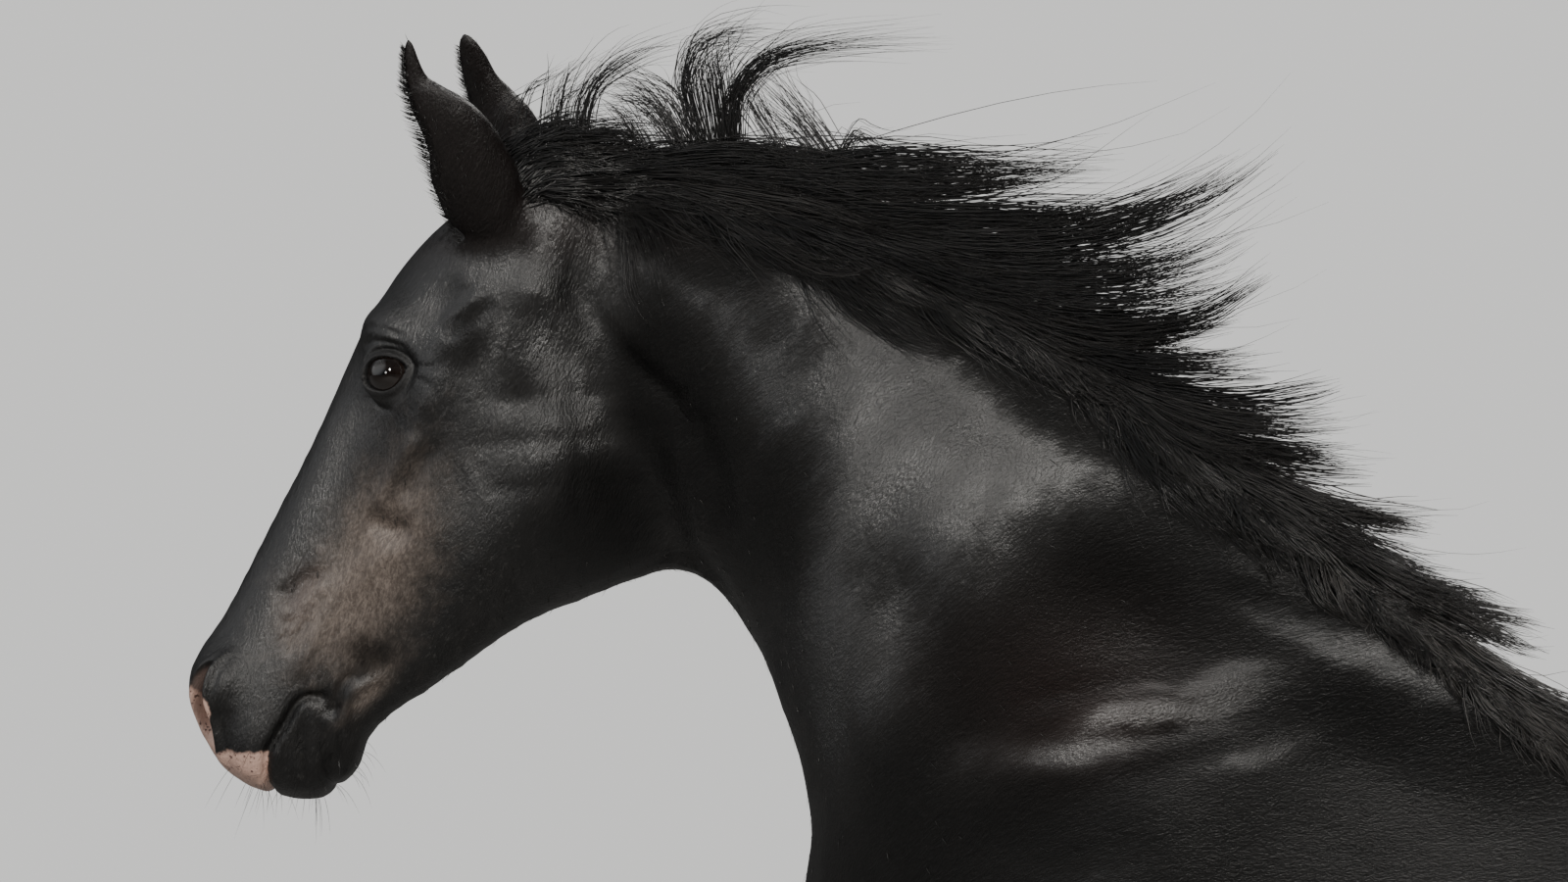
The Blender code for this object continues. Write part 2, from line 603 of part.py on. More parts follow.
def islands(obj):
    """The object's separate closed shells as new objects of triangles, largest first."""
    mesh = obj.data
    mesh.calc_loop_triangles()
    faces = np.array([t.vertices[:] for t in mesh.loop_triangles])
    by_edge = {}
    for index, (i, j, k) in enumerate(faces.tolist()):
        for key in ((i, j), (j, k), (k, i)):
            by_edge.setdefault((min(key), max(key)), []).append(index)
    near = [[] for _ in faces]
    for pair in by_edge.values():
        if len(pair) == 2:
            near[pair[0]].append(pair[1])
            near[pair[1]].append(pair[0])
    label = np.full(len(faces), -1)
    groups = 0
    for seed in range(len(faces)):
        if label[seed] < 0:
            label[seed] = groups
            stack = [seed]
            while stack:
                for other in near[stack.pop()]:
                    if label[other] < 0:
                        label[other] = groups
                        stack.append(other)
            groups += 1
    points = points_of(mesh)
    made = []
    for group in range(groups):
        used, index = np.unique(faces[label == group], return_inverse=True)
        part = bpy.data.meshes.new("island")
        part.from_pydata(points[used].tolist(), [], index.reshape(-1, 3).tolist())
        made.append(linked("island", part))
    return sorted(made, key=lambda piece: len(piece.data.vertices), reverse=True)


def keep_largest(obj):
    """Drops the crumbs that a cut leaves behind."""
    parts = islands(obj)
    old = obj.data
    obj.data = parts[0].data.copy()
    bpy.data.meshes.remove(old)
    for part in parts:
        bpy.data.objects.remove(part)


def parted_body(body):
    """Named nodes of flesh: head, neck, trunk and two lengths of each leg."""
    high, low = facing(NECK_CUT, 1), facing(NECK_CUT, -1)
    nodes = {
        "head": region(body, [high, facing(HEAD_CUT, 1)], HEAD_TRIANGLES),
        "neck": region(body, [high, facing(HEAD_CUT, -1)], NECK_TRIANGLES),
        "trunk": region(body, [low, level(LEG_CUT_Z, 1)], TRUNK_TRIANGLES),
    }
    legs = half(half(body, *low, CUT_MARGIN), *level(LEG_CUT_Z, -1), CUT_MARGIN)
    for leg in islands(legs)[:4]:
        x, y, _ = points_of(leg.data).mean(0)
        kind = "fore" if x < 0.4 else "hind"
        name = kind + "leg" + ("_left" if y < 0 else "_right")
        thinned(leg, LEG_TRIANGLES[kind])
        knee = KNEE_CUT_Z[kind]
        nodes[name + "_upper"] = between(leg, knee, LEG_CUT_Z)
        nodes[name + "_cannon"] = between(leg, FEATHER_TOP_Z, knee)
    for name, piece in nodes.items():
        piece.name = name
    for obj in list(bpy.data.objects):
        if obj.name.startswith(("island", "body")):
            bpy.data.objects.remove(obj)
    return nodes


def level(height, sign):
    """A level plane whose normal points up or down."""
    return (0, 0, height), (0, 0, sign)


def between(obj, low, high):
    """The part of an object between two heights."""
    middle = half(obj, *level(low, 1))
    piece = half(middle, *level(high, -1))
    bpy.data.objects.remove(middle)
    keep_largest(piece)
    return piece


def foot_place(name):
    """X and Y of the middle of a foot on the floor."""
    last = (FORE_STATIONS if name.startswith("fore") else HIND_STATIONS)[-1]
    side = -1 if name.endswith("left") else 1
    return last[0] - 0.008 + STANCE[name] + ORIGIN_SHIFT, side * last[3]


def hoof(name):
    """The horn capsule: a sloped toe, upright heels and a flat sole on the floor."""
    x, y = foot_place(name)
    levels = ((0.0, 0.000, 0.072, 0.066), (0.006, 0.001, 0.073, 0.067), (0.038, 0.012, 0.062, 0.058),
              (0.064, 0.021, 0.053, 0.051), (0.070, 0.022, 0.044, 0.042))
    turn = np.linspace(0, 2 * math.pi, 14, endpoint=False)
    rings = []
    for z, back, deep, wide in levels:
        toe = np.where(np.cos(turn) > 0, 0.80, 1.0)
        height = z * (1 - 0.22 * np.cos(turn))
        rings.append(np.stack([x + back + deep * toe * np.cos(turn), y + wide * np.sin(turn), height], -1))
    return linked(name + "_hoof", tube_mesh(name + "_hoof", np.array(rings)))


def feather(name, hoof_obj):
    """The fetlock and pastern with their long hair: a bell that flares to the rear over the heels."""
    x, y = foot_place(name)
    shin = x + 0.047
    levels = np.array(
        (
            (FEATHER_TOP_Z - GAP, shin + 0.004, 0.043, 0.035),
            (0.235, shin + 0.012, 0.053, 0.042),
            (0.175, shin + 0.015, 0.067, 0.055),
            (0.120, shin + 0.011, 0.078, 0.066),
            (0.080, shin + 0.008, 0.086, 0.075),
            (0.052, shin + 0.014, 0.088, 0.077),
            (0.030, shin + 0.030, 0.074, 0.064),
        )
    )
    levels = spline(-levels[:, 0], levels, np.linspace(-levels[0, 0], -levels[-1, 0], 6))
    turn = np.linspace(0, 2 * math.pi, 11, endpoint=False)
    rings = np.stack(
        [
            levels[:, 1, None] + levels[:, 2, None] * np.cos(turn),
            y + levels[:, 3, None] * np.sin(turn),
            np.broadcast_to(levels[:, 0, None], (len(levels), len(turn))),
        ],
        -1,
    )
    tilt = np.clip((0.13 - rings[..., 2]) / 0.10, 0, 1) * 0.42
    rings[..., 2] = np.maximum(rings[..., 2] - tilt * (rings[..., 0] - shin), 0.010)
    obj = linked(name + "_feather", tube_mesh(name + "_feather", rings))
    return boolean(obj, grown(hoof_obj, 2 * GAP))


def ear(side):
    """A pricked ear: a cupped leaf, open to the front, that narrows to a curved tip."""
    s = resample(EAR_STATIONS, 10)
    spine = np.stack([s[:, 0], side * s[:, 2], s[:, 1]], -1)
    radius = s[:, 3]
    if side > 0:
        turned = np.array(RIGHT_EAR)
        _, back, up, wider = spline(turned[:, 0], turned, s[:, 1] - s[0, 1]).T
        spine[:, 0] += back
        spine[:, 2] += up
        radius = radius * wider
    u = np.linspace(0, 1, len(s))
    opening = np.radians(30 + 74 * np.clip(u / 0.45, 0, 1) - 44 * np.clip((u - 0.6) / 0.4, 0, 1)) / 2
    along = np.gradient(spine, axis=0)
    along /= np.linalg.norm(along, axis=1)[:, None]
    front = np.array([-0.97, side * 0.24, 0.0])
    front = front - (along @ front)[:, None] * along
    front /= np.linalg.norm(front, axis=1)[:, None]
    across = np.cross(along, front)
    turn = np.linspace(0, 1, 7)
    angle = opening[:, None] + (2 * math.pi - 2 * opening)[:, None] * turn
    outer = np.stack([np.cos(angle), np.sin(angle)], -1)

    def arc(scale):
        r = (radius * scale)[:, None, None]
        deep = outer[..., :1] * EAR_DEPTH
        return spine[:, None] + r * (deep * front[:, None] + outer[..., 1:] * across[:, None])

    inner = arc(np.maximum(0.25, 1 - EAR_WALL / radius))[:, ::-1]
    return tube_mesh("ear", np.concatenate([arc(np.ones_like(u)), inner], axis=1), ladder=True)


def eye_centre(side):
    x, z = head_point(EYE_PLACE[0], EYE_PLACE[1])
    return (x, side * EYE_PLACE[2], z)


def crest(share):
    """X and Z on the neck's top line, share 0 at the poll and 1 at the withers, and its slope."""
    line = np.array([s[:2] for s in TRUNK_STATIONS[0:13]])
    along = np.concatenate([[0], np.cumsum(np.linalg.norm(np.diff(line, axis=0), axis=1))])
    near = spline(along, line, np.array([share - 0.01, share, share + 0.01]) * along[-1])
    step = near[2] - near[0]
    return near[1], math.degrees(math.atan2(step[1], step[0]))


def bent_line(start, length, angle_from, angle_to, count=12):
    """A hair's path in X and Z, whose angle above level turns evenly from root to tip."""
    u = np.linspace(0, 1, count)
    angle = np.radians(angle_from + (angle_to - angle_from) * u)
    step = length / (count - 1)
    x = start[0] + np.concatenate([[0], np.cumsum(np.cos(angle[1:]) * step)])
    z = start[1] + np.concatenate([[0], np.cumsum(np.sin(angle[1:]) * step)])
    return np.stack([x, z], -1)


def draped(path, tree, lift):
    """Adds Y to a path, so that it lies lift off the body's left side, or flies past the crest."""
    y = []
    for x, z in path:
        hit = tree.ray_cast(Vector((x + ORIGIN_SHIFT, -1, z)), Vector((0, 1, 0)))[0]
        y.append(hit.y - lift if hit and hit.y > -0.25 else np.nan)
    y = np.array(y)
    known = np.flatnonzero(~np.isnan(y))
    index = np.arange(len(y))
    if len(known):
        free = np.interp(index, known, y[known])
        fade = np.clip((index - known[-1]) / 8, 0, 1)
        y = free * (1 - 0.6 * fade)
    else:
        y = np.full(len(y), -0.012)
    y = np.convolve(np.pad(y, 2, mode="edge"), np.ones(5) / 5, mode="valid")
    return np.stack([path[:, 0], y, path[:, 1]], -1)


def lock_mesh(path, thick, wide, tip=0.25, around=10):
    """A tapering lock along a path: oval, wide in the path's plane and thick across it."""
    along = np.gradient(path, axis=0)
    along /= np.linalg.norm(along, axis=1)[:, None]
    side = np.cross(along, np.array([0.0, 1.0, 0.0]))
    side /= np.linalg.norm(side, axis=1)[:, None]
    over = np.cross(side, along)
    u = np.linspace(0, 1, len(path))
    scale = (1 - (1 - tip) * u**1.6)[:, None, None]
    turn = np.linspace(0, 2 * math.pi, around, endpoint=False)
    ring = np.cos(turn)[None, :, None] * side[:, None] * wide
    ring = ring + np.sin(turn)[None, :, None] * over[:, None] * thick
    return tube_mesh("lock", path[:, None] + scale * ring)


def build_mane(body):
    """The mane from the poll to the withers, blown back: upper, middle and side locks, and wisps."""
    tree = BVHTree.FromPolygons([v.co for v in body.data.vertices], [p.vertices for p in body.data.polygons])
    flow = np.array(MANE_FLOW)
    meshes = []
    for share in np.linspace(0, 1, MANE_LOCKS):
        length, start, end, side_length = spline(flow[:, 0], flow[:, 1:], np.array([share]))[0]
        root, slope = crest(share)
        fade = 1 - 0.45 * share
        upper = bent_line(root + (0.0, -0.004), length, start, end)
        meshes.append(lock_mesh(draped(upper, tree, 0.004), 0.024 * fade, 0.034 * fade, tip=0.14))
        middle_line = bent_line(root + (0.0, -0.012), length * 0.85, (start + slope) / 2 - 12, (end + slope) / 2)
        meshes.append(lock_mesh(draped(middle_line, tree, 0.008), 0.020 * fade, 0.034 * fade, tip=0.2))
        lower = bent_line(root + (-0.01, -0.016), side_length, slope - 34, slope + 2)
        meshes.append(lock_mesh(draped(lower, tree, 0.006), 0.018 * fade, 0.028 * fade, tip=0.3))
    mane = remeshed(joined("mane", meshes), HAIR_VOXEL)
    relax(mane, 0.3, 4)
    thinned(mane, MANE_TRIANGLES)
    for half, *knots in WISPS:
        knots = np.array(knots)
        path = spline(np.arange(len(knots)), knots, np.linspace(0, len(knots) - 1, 7))
        path = np.stack([path[:, 0], np.full(len(path), -0.008), path[:, 1]], -1)
        wisp = joined("wisp", [lock_mesh(path, half, half, tip=0.5, around=5)])
        wisp.hide_render = True
        boolean(mane, wisp, "UNION")
    return mane


def build_tail():
    """The dock with its full wavy hair, as locks side by side that part towards their tips."""
    s = resample(TAIL_STATIONS, 40)
    u = np.linspace(0, 1, len(s))
    path = np.stack([s[:, 0], np.zeros(len(s)), s[:, 1]], -1)
    along = np.gradient(path, axis=0)
    along /= np.linalg.norm(along, axis=1)[:, None]
    out = np.cross(along, np.array([0.0, 1.0, 0.0]))
    meshes = []
    for n in range(TAIL_LOCKS):
        turn = 2.4 * n
        reach = 0.62 * math.sqrt((n + 0.5) / TAIL_LOCKS)
        wave = TAIL_WAVE * np.sin(9 * u + 1.7 * n) * np.clip(u * 3, 0, 1)
        deep = s[:, 2] * reach * math.cos(turn) + wave
        wide = s[:, 3] * reach * math.sin(turn) + wave * math.sin(3.1 * n)
        last = int(len(s) * (1 - 0.14 * ((0.618 * n) % 1)))
        line = path + out * deep[:, None] + np.array([0.0, 1.0, 0.0]) * wide[:, None]
        size = np.maximum((s[:, 2] + s[:, 3]) * 0.5 * 0.46, 0.020)
        ring_turn = np.linspace(0, 2 * math.pi, 12, endpoint=False)
        taper = (1 - 0.7 * np.linspace(0, 1, last) ** 4)[:, None, None]
        ring = np.cos(ring_turn)[None, :, None] * out[:last, None]
        ring = ring + np.sin(ring_turn)[None, :, None] * np.array([0.0, 1.0, 0.0])
        meshes.append(tube_mesh("lock", line[:last, None] + ring * taper * size[:last, None, None]))
    tail = remeshed(joined("tail", meshes), HAIR_VOXEL)
    relax(tail, 0.3, 4)
    return thinned(tail, TAIL_TRIANGLES)


def linked(name, mesh):
    obj = bpy.data.objects.new(name, mesh)
    bpy.context.scene.collection.objects.link(obj)
    return obj


def main():
    for obj in list(bpy.data.objects):
        bpy.data.objects.remove(obj)
    coat = material("short_coat", COAT_BLACK, 0.42)
    hair = material("long_hair", HAIR_BLACK, 0.5)
    horn = material("hoof_horn", HORN_GREY, 0.45)
    eye = material("eyeball", EYE_BROWN, 0.05)

    body = build_body()
    mane = build_mane(body)
    nodes = parted_body(body)

    eyes = {}
    for side, label in ((-1, "left"), (1, "right")):
        centre = eye_centre(side)
        socket = joined("socket", [ball_mesh("socket", centre, (EYE_RADIUS + GAP,) * 3, segments=12, rings=8)])
        socket.hide_render = True
        boolean(nodes["head"], socket)
        bpy.data.objects.remove(socket)
        eyes[label] = joined("eye_" + label, [ball_mesh("eye", centre, (EYE_RADIUS,) * 3, segments=12, rings=8)])
        finish(eyes[label], eye)

    flesh = [grown(nodes[n], 3 * GAP) for n in ("head", "neck", "trunk")]
    for side, label in ((-1, "left"), (1, "right")):
        part = joined("ear_" + label, [ear(side)])
        for cutter in flesh[:2]:
            boolean(part, cutter)
        keep_largest(part)
        finish(part, coat)
        nodes[part.name] = part
    tail = build_tail()
    for cutter in flesh + [grown(nodes["ear_left"], 3 * GAP), grown(nodes["ear_right"], 3 * GAP)]:
        boolean(mane, cutter)
        keep_largest(mane)
    boolean(tail, flesh[2])
    keep_largest(tail)
    for part in (mane, tail):
        finish(part, hair)

    for name in STANCE:
        horn_capsule = hoof(name)
        bell = feather(name, horn_capsule)
        finish(horn_capsule, horn)
        finish(bell, hair)
    for name, piece in nodes.items():
        if not name.startswith("ear"):
            finish(piece, coat)
    for obj in list(bpy.data.objects):
        if obj.hide_render:
            bpy.data.objects.remove(obj)


main()
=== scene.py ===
# %% [markdown]
# A life-size black horse. It stands with its head raised and its mane blown back, as in a museum.
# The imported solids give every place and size. The looks are built around them: one skin over the
# flesh, eyeballs, hooves, and hair made as thin closed strands.

# %% Load the frame
import math

import bmesh
import bpy
import numpy as np
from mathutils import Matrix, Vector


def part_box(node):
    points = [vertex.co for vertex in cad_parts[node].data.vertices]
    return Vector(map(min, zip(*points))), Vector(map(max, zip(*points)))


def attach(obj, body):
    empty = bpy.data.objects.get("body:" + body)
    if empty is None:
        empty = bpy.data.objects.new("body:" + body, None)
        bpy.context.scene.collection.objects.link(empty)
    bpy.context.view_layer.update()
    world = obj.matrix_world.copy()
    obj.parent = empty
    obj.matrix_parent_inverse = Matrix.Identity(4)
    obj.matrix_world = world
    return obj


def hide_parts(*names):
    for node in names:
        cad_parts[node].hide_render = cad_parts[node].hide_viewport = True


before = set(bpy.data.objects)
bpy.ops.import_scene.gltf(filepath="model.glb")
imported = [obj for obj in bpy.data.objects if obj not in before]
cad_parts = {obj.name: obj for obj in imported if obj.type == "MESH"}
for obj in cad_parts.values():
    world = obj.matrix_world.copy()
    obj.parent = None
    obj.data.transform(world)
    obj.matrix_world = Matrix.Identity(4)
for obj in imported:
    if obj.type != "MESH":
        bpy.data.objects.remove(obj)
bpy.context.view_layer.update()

LEGS = ("foreleg_left", "foreleg_right", "hindleg_left", "hindleg_right")

# %% [markdown]
# The camera comes first. The photo was taken level with the horse's eye and nearly square to its
# left side, with a long lens. The head's known length fixes how many metres the picture is wide.

# %% Camera
PHOTO_WIDTH = 1600
PIXELS_PER_METRE = 1120
CAMERA_TURN = math.radians(10)
CAMERA_AIM = np.array([-0.721, 0.0, 1.936])
LENS_MM = 250
SENSOR_MM = 36
VIEW_DEPTH = 300

camera_data = bpy.data.cameras.new("camera")
camera_data.lens = LENS_MM
camera_data.sensor_width = SENSOR_MM
camera_data.clip_end = VIEW_DEPTH
camera = bpy.data.objects.new("camera", camera_data)
bpy.context.scene.collection.objects.link(camera)
camera_distance = PHOTO_WIDTH / PIXELS_PER_METRE * LENS_MM / SENSOR_MM
camera_side = np.array([math.sin(CAMERA_TURN), -math.cos(CAMERA_TURN), 0.0])
camera.location = CAMERA_AIM + camera_distance * camera_side
camera.rotation_euler = (math.pi / 2, 0, CAMERA_TURN)
bpy.context.scene.camera = camera
print("camera stands", round(camera_distance, 2), "m away")

# %% [markdown]
# Every shape below is an array of points. These helpers turn arrays into meshes, run a smooth
# curve through a few stations, and join rings of points into a closed tube.

# %% Array helpers
def spline(knots, values, at):
    """Smooth curve through values at knots, read at the points at.

    Each stretch is a cubic whose end slopes are the means of the straight slopes on both sides.
    """
    knots = np.asarray(knots, float)
    values = np.asarray(values, float)
    steps = np.diff(knots)
    slopes = np.diff(values, axis=0) / steps[:, None]
    tangents = np.empty_like(values)
    tangents[0], tangents[-1] = slopes[0], slopes[-1]
    before, after = steps[:-1, None], steps[1:, None]
    tangents[1:-1] = (slopes[:-1] * after + slopes[1:] * before) / (before + after)
    at = np.clip(at, knots[0], knots[-1])
    i = np.clip(np.searchsorted(knots, at, side="right") - 1, 0, len(steps) - 1)
    h = steps[i][:, None]
    t = ((at - knots[i]) / steps[i])[:, None]
    return (
        (2 * t**3 - 3 * t**2 + 1) * values[i]
        + (t**3 - 2 * t**2 + t) * h * tangents[i]
        + (3 * t**2 - 2 * t**3) * values[i + 1]
        + (t**3 - t**2) * h * tangents[i + 1]
    )


def ramp(x, low, high):
    """0 below low, 1 above high, and an S-shaped rise between them."""
    t = np.clip((x - low) / (high - low), 0, 1)
    return t * t * (3 - 2 * t)


def bell(x, middle, width):
    """exp(-((x - middle) / width)^2): 1 at the middle, and 0.37 at a width from it."""
    return np.exp(-(((x - middle) / width) ** 2))


def tilted_oval(across, up, long, wide, tilt):
    """Squared distance from the middle of an oval tilted by tilt degrees, 1 on its edge."""
    cosine, sine = math.cos(math.radians(tilt)), math.sin(math.radians(tilt))
    return ((across * cosine - up * sine) / long) ** 2 + ((across * sine + up * cosine) / wide) ** 2


def unit(v):
    """Vectors scaled to length 1."""
    return v / np.maximum(np.linalg.norm(v, axis=-1, keepdims=True), 1e-12)


def distance_along(path):
    """The distance run at each point of a path."""
    return np.concatenate([[0], np.cumsum(np.linalg.norm(np.diff(path, axis=0), axis=1))])


def mesh_from(name, points, faces):
    """A mesh from points and a list of face arrays, each with one number of corners per row."""
    mesh = bpy.data.meshes.new(name)
    mesh.vertices.add(len(points))
    mesh.vertices.foreach_set("co", np.asarray(points, np.float32).ravel())
    corners = np.concatenate([f.ravel() for f in faces]).astype(np.int32)
    sizes = np.concatenate([np.full(len(f), f.shape[1]) for f in faces])
    starts = np.concatenate([[0], np.cumsum(sizes)[:-1]]).astype(np.int32)
    mesh.loops.add(len(corners))
    mesh.loops.foreach_set("vertex_index", corners)
    mesh.polygons.add(len(sizes))
    mesh.polygons.foreach_set("loop_start", starts)
    mesh.update(calc_edges=True)
    return mesh


def tube_faces(stations, around):
    """Faces of a closed tube of rings, with one extra point in the middle of each end."""
    i = np.arange(stations - 1)[:, None] * around
    j = np.arange(around)[None]
    k = (j + 1) % around
    quads = np.stack([i + j, i + k, i + around + k, i + around + j], -1).reshape(-1, 4)
    first, last = stations * around, stations * around + 1
    base = (stations - 1) * around
    start = np.stack([np.full(around, first), k[0], j[0]], -1)
    end = np.stack([np.full(around, last), base + j[0], base + k[0]], -1)
    return [quads, np.concatenate([start, end])]


def turned_outwards(mesh):
    """The closed mesh with all its faces looking outwards."""
    bm = bmesh.new()
    bm.from_mesh(mesh)
    bmesh.ops.recalc_face_normals(bm, faces=bm.faces)
    bm.to_mesh(mesh)
    bm.free()
    return mesh


def tube_mesh(name, rings):
    """A closed mesh from rings of points, shape (stations, around, 3)."""
    ends = np.stack([rings[0].mean(0), rings[-1].mean(0)])
    points = np.concatenate([rings.reshape(-1, 3), ends])
    return turned_outwards(mesh_from(name, points, tube_faces(*rings.shape[:2])))


def linked(name, data):
    """An object for a mesh or a light, in the scene."""
    obj = bpy.data.objects.new(name, data)
    bpy.context.scene.collection.objects.link(obj)
    return obj


def apply_modifiers(obj):
    """Gives the object the mesh that its modifiers make."""
    graph = bpy.context.evaluated_depsgraph_get()
    obj.data = bpy.data.meshes.new_from_object(obj.evaluated_get(graph))
    obj.modifiers.clear()


def points_of(mesh):
    points = np.empty(len(mesh.vertices) * 3)
    mesh.vertices.foreach_get("co", points)
    return points.reshape(-1, 3)


def normals_of(mesh):
    normals = np.empty(len(mesh.vertices) * 3)
    mesh.vertex_normals.foreach_get("vector", normals)
    return normals.reshape(-1, 3)


def edges_of(mesh):
    edges = np.empty(len(mesh.edges) * 2, np.int64)
    mesh.edges.foreach_get("vertices", edges)
    return edges.reshape(-1, 2)


def set_points(mesh, points):
    mesh.vertices.foreach_set("co", points.astype(np.float32).ravel())
    mesh.update()


def set_attribute(mesh, name, values):
    """Stores one number for each point."""
    layer = mesh.attributes.new(name, "FLOAT", "POINT")
    layer.data.foreach_set("value", values.astype(np.float32))


def triangles_of(mesh):
    return len(mesh.loops) - 2 * len(mesh.polygons)


# %% [markdown]
# The skin has to run over the flesh solids with no seam. Copies of the solids are grown a little so
# that they overlap, the fetlocks and pasterns are added as short tubes, and a voxel remesh fuses
# all of it into even squares. The facets then go in a smoothing that gives back what it takes from
# the large forms, so that the outline stays where the solids have it.

# %% Fused skin
FLESH = ["head", "neck", "trunk"] + [f"{leg}_{part}" for leg in LEGS for part in ("upper", "cannon")]
OVERLAP = 0.0008
SKIN_VOXEL = 0.0120
COAT_DEPTH = 0.0015
EVENNESS = 0.6
EVENING_ROUNDS = 7
PASTERN_RINGS = 40
SAME_POINT = 1e-5
TOE_OVERHANG = 0.006
CANNON_RIM = 0.004
# Fetlock and pastern: height, how far from the foot's middle back to the cannon's line (0 to 1),
# extra set-back, half-depth and half-width
PASTERN = (
    (0.330, 1.00, 0.000, 0.039, 0.032),
    (0.260, 1.00, 0.001, 0.038, 0.031),
    (0.205, 1.00, 0.001, 0.040, 0.033),
    (0.165, 1.00, 0.000, 0.046, 0.040),
    (0.125, 0.70, 0.000, 0.040, 0.037),
    (0.090, 0.34, 0.000, 0.043, 0.043),
    (0.058, 0.10, 0.000, 0.050, 0.049),
    (0.040, 0.05, 0.000, 0.050, 0.049),
)


def node_points(name):
    return points_of(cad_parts[name].data)


def foot_middle(leg):
    """X and Y of the middle of a hoof."""
    low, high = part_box(leg + "_hoof")
    return np.array([(low.x + high.x) / 2 + TOE_OVERHANG, (low.y + high.y) / 2])


def cannon_middle(leg):
    """X and Y of the middle of a cannon's lower end."""
    points = node_points(leg + "_cannon")
    ring = points[points[:, 2] < points[:, 2].min() + CANNON_RIM]
    return (ring.min(0) + ring.max(0))[:2] / 2


def pastern_rings(leg, around=28):
    """Level ovals whose middles slide from the cannon's line to the foot's."""
    s = np.array(PASTERN)
    s = spline(-s[:, 0], s, np.linspace(-s[0, 0], -s[-1, 0], PASTERN_RINGS))
    foot, cannon = foot_middle(leg), cannon_middle(leg)
    middle = foot + (cannon - foot) * s[:, 1:2]
    turn = np.linspace(0, 2 * math.pi, around, endpoint=False)
    x = middle[:, :1] + s[:, 2:3] + s[:, 3:4] * np.cos(turn)
    y = middle[:, 1:2] + s[:, 4:5] * np.sin(turn)
    return np.stack([x, y, np.broadcast_to(s[:, :1], x.shape)], -1)


def even_out(points, edges, share, rounds):
    """Each point moves towards the mean of its neighbours by share, rounds times."""
    a, b = edges.T
    count = len(points)
    degree = np.bincount(edges.ravel(), minlength=count)[:, None]
    for _ in range(rounds):
        total = [np.bincount(a, points[b, k], count) + np.bincount(b, points[a, k], count) for k in range(3)]
        points = points + (np.stack(total, 1) / degree - points) * share
    return points


def smoothed(points, edges, share, rounds):
    """Evens points out, then adds back the evened remainder, which holds the large forms."""
    once = even_out(points, edges, share, rounds)
    return once + even_out(points - once, edges, share, rounds)


def fused_skin():
    """Grown copies of the flesh and the pastern tubes, fused on a voxel grid and smoothed."""
    bm = bmesh.new()
    for name in FLESH + ["eye_left", "eye_right"]:
        bm.from_mesh(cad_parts[name].data)
    bmesh.ops.remove_doubles(bm, verts=bm.verts, dist=SAME_POINT)
    solid = bpy.data.meshes.new("solid")
    bm.to_mesh(solid)
    bm.free()
    set_points(solid, points_of(solid) + OVERLAP * normals_of(solid))
    bm = bmesh.new()
    bm.from_mesh(solid)
    for leg in LEGS:
        bm.from_mesh(tube_mesh("pastern", pastern_rings(leg)))
    shell = bpy.data.meshes.new("skin")
    bm.to_mesh(shell)
    bm.free()
    obj = linked("skin", shell)
    remesh = obj.modifiers.new("fuse", "REMESH")
    remesh.mode = "VOXEL"
    remesh.voxel_size = SKIN_VOXEL
    apply_modifiers(obj)
    set_points(obj.data, smoothed(points_of(obj.data), edges_of(obj.data), EVENNESS, EVENING_ROUNDS))
    return obj


skin = fused_skin()
print("fused skin", triangles_of(skin.data), "triangles")

# %% [markdown]
# The head needs finer squares than the trunk, and the lids finer ones still. Only the faces inside
# a zone are split in four, and the new points are evened out so that they follow the curve. Zones
# are told in head measures: distance down the face from the poll, depth behind its front, and
# distance from the middle plane, in metres.

# %% Finer squares on the head
HEAD_PITCH = math.radians(63.5)
POLL = np.array([-0.952, 2.195])
EYE = (0.2300, -0.0180, 0.0800)
NOSTRIL = (0.582, -0.049, 0.040)
SPLIT_EVENNESS = 0.5
SPLIT_ROUNDS = 2


def head_place(points):
    """Distance down the face, depth behind its front, and distance from the middle plane."""
    x, z = points[:, 0] - POLL[0], points[:, 2] - POLL[1]
    along = -math.cos(HEAD_PITCH) * x - math.sin(HEAD_PITCH) * z
    deep = math.sin(HEAD_PITCH) * x - math.cos(HEAD_PITCH) * z
    return np.stack([along, deep, np.abs(points[:, 1])], -1)


def from_head(along, deep, y):
    """The point of the scene at head measures along, deep and y."""
    x = POLL[0] - math.cos(HEAD_PITCH) * along + math.sin(HEAD_PITCH) * deep
    z = POLL[1] - math.sin(HEAD_PITCH) * along - math.cos(HEAD_PITCH) * deep
    return np.array([x, y, z])


def near(place, middle, radii):
    """True inside an oval round middle."""
    return (((place - np.array(middle)) / np.array(radii)) ** 2).sum(1) < 1


def split(mesh, chosen):
    """Splits in four the squares whose corners are all chosen."""
    bm = bmesh.new()
    bm.from_mesh(mesh)
    bm.verts.ensure_lookup_table()
    edges = [e for e in bm.edges if chosen[e.verts[0].index] and chosen[e.verts[1].index]]
    bmesh.ops.subdivide_edges(bm, edges=edges, cuts=1, use_grid_fill=True)
    bm.to_mesh(mesh)
    bm.free()


def head_zone(points):
    """True on the head, whose back limit runs down behind the jaw."""
    place = head_place(points)
    return (place[:, 0] > -0.06) & (place[:, 0] < 0.70) & (points[:, 0] < -0.80) & (points[:, 2] > 1.5)


def fine_zone(points):
    """True round the muzzle and the eyes."""
    place = head_place(points)
    muzzle = near(place, (0.575, 0.010, 0.02), (0.115, 0.12, 0.12))
    eye = near(place, EYE, (0.055, 0.055, 0.06))
    return muzzle | eye


def lid_zone(points):
    """True at the lids and the nostrils."""
    place = head_place(points)
    return near(place, EYE, (0.036, 0.036, 0.06)) | near(place, NOSTRIL, (0.056, 0.036, 0.042))


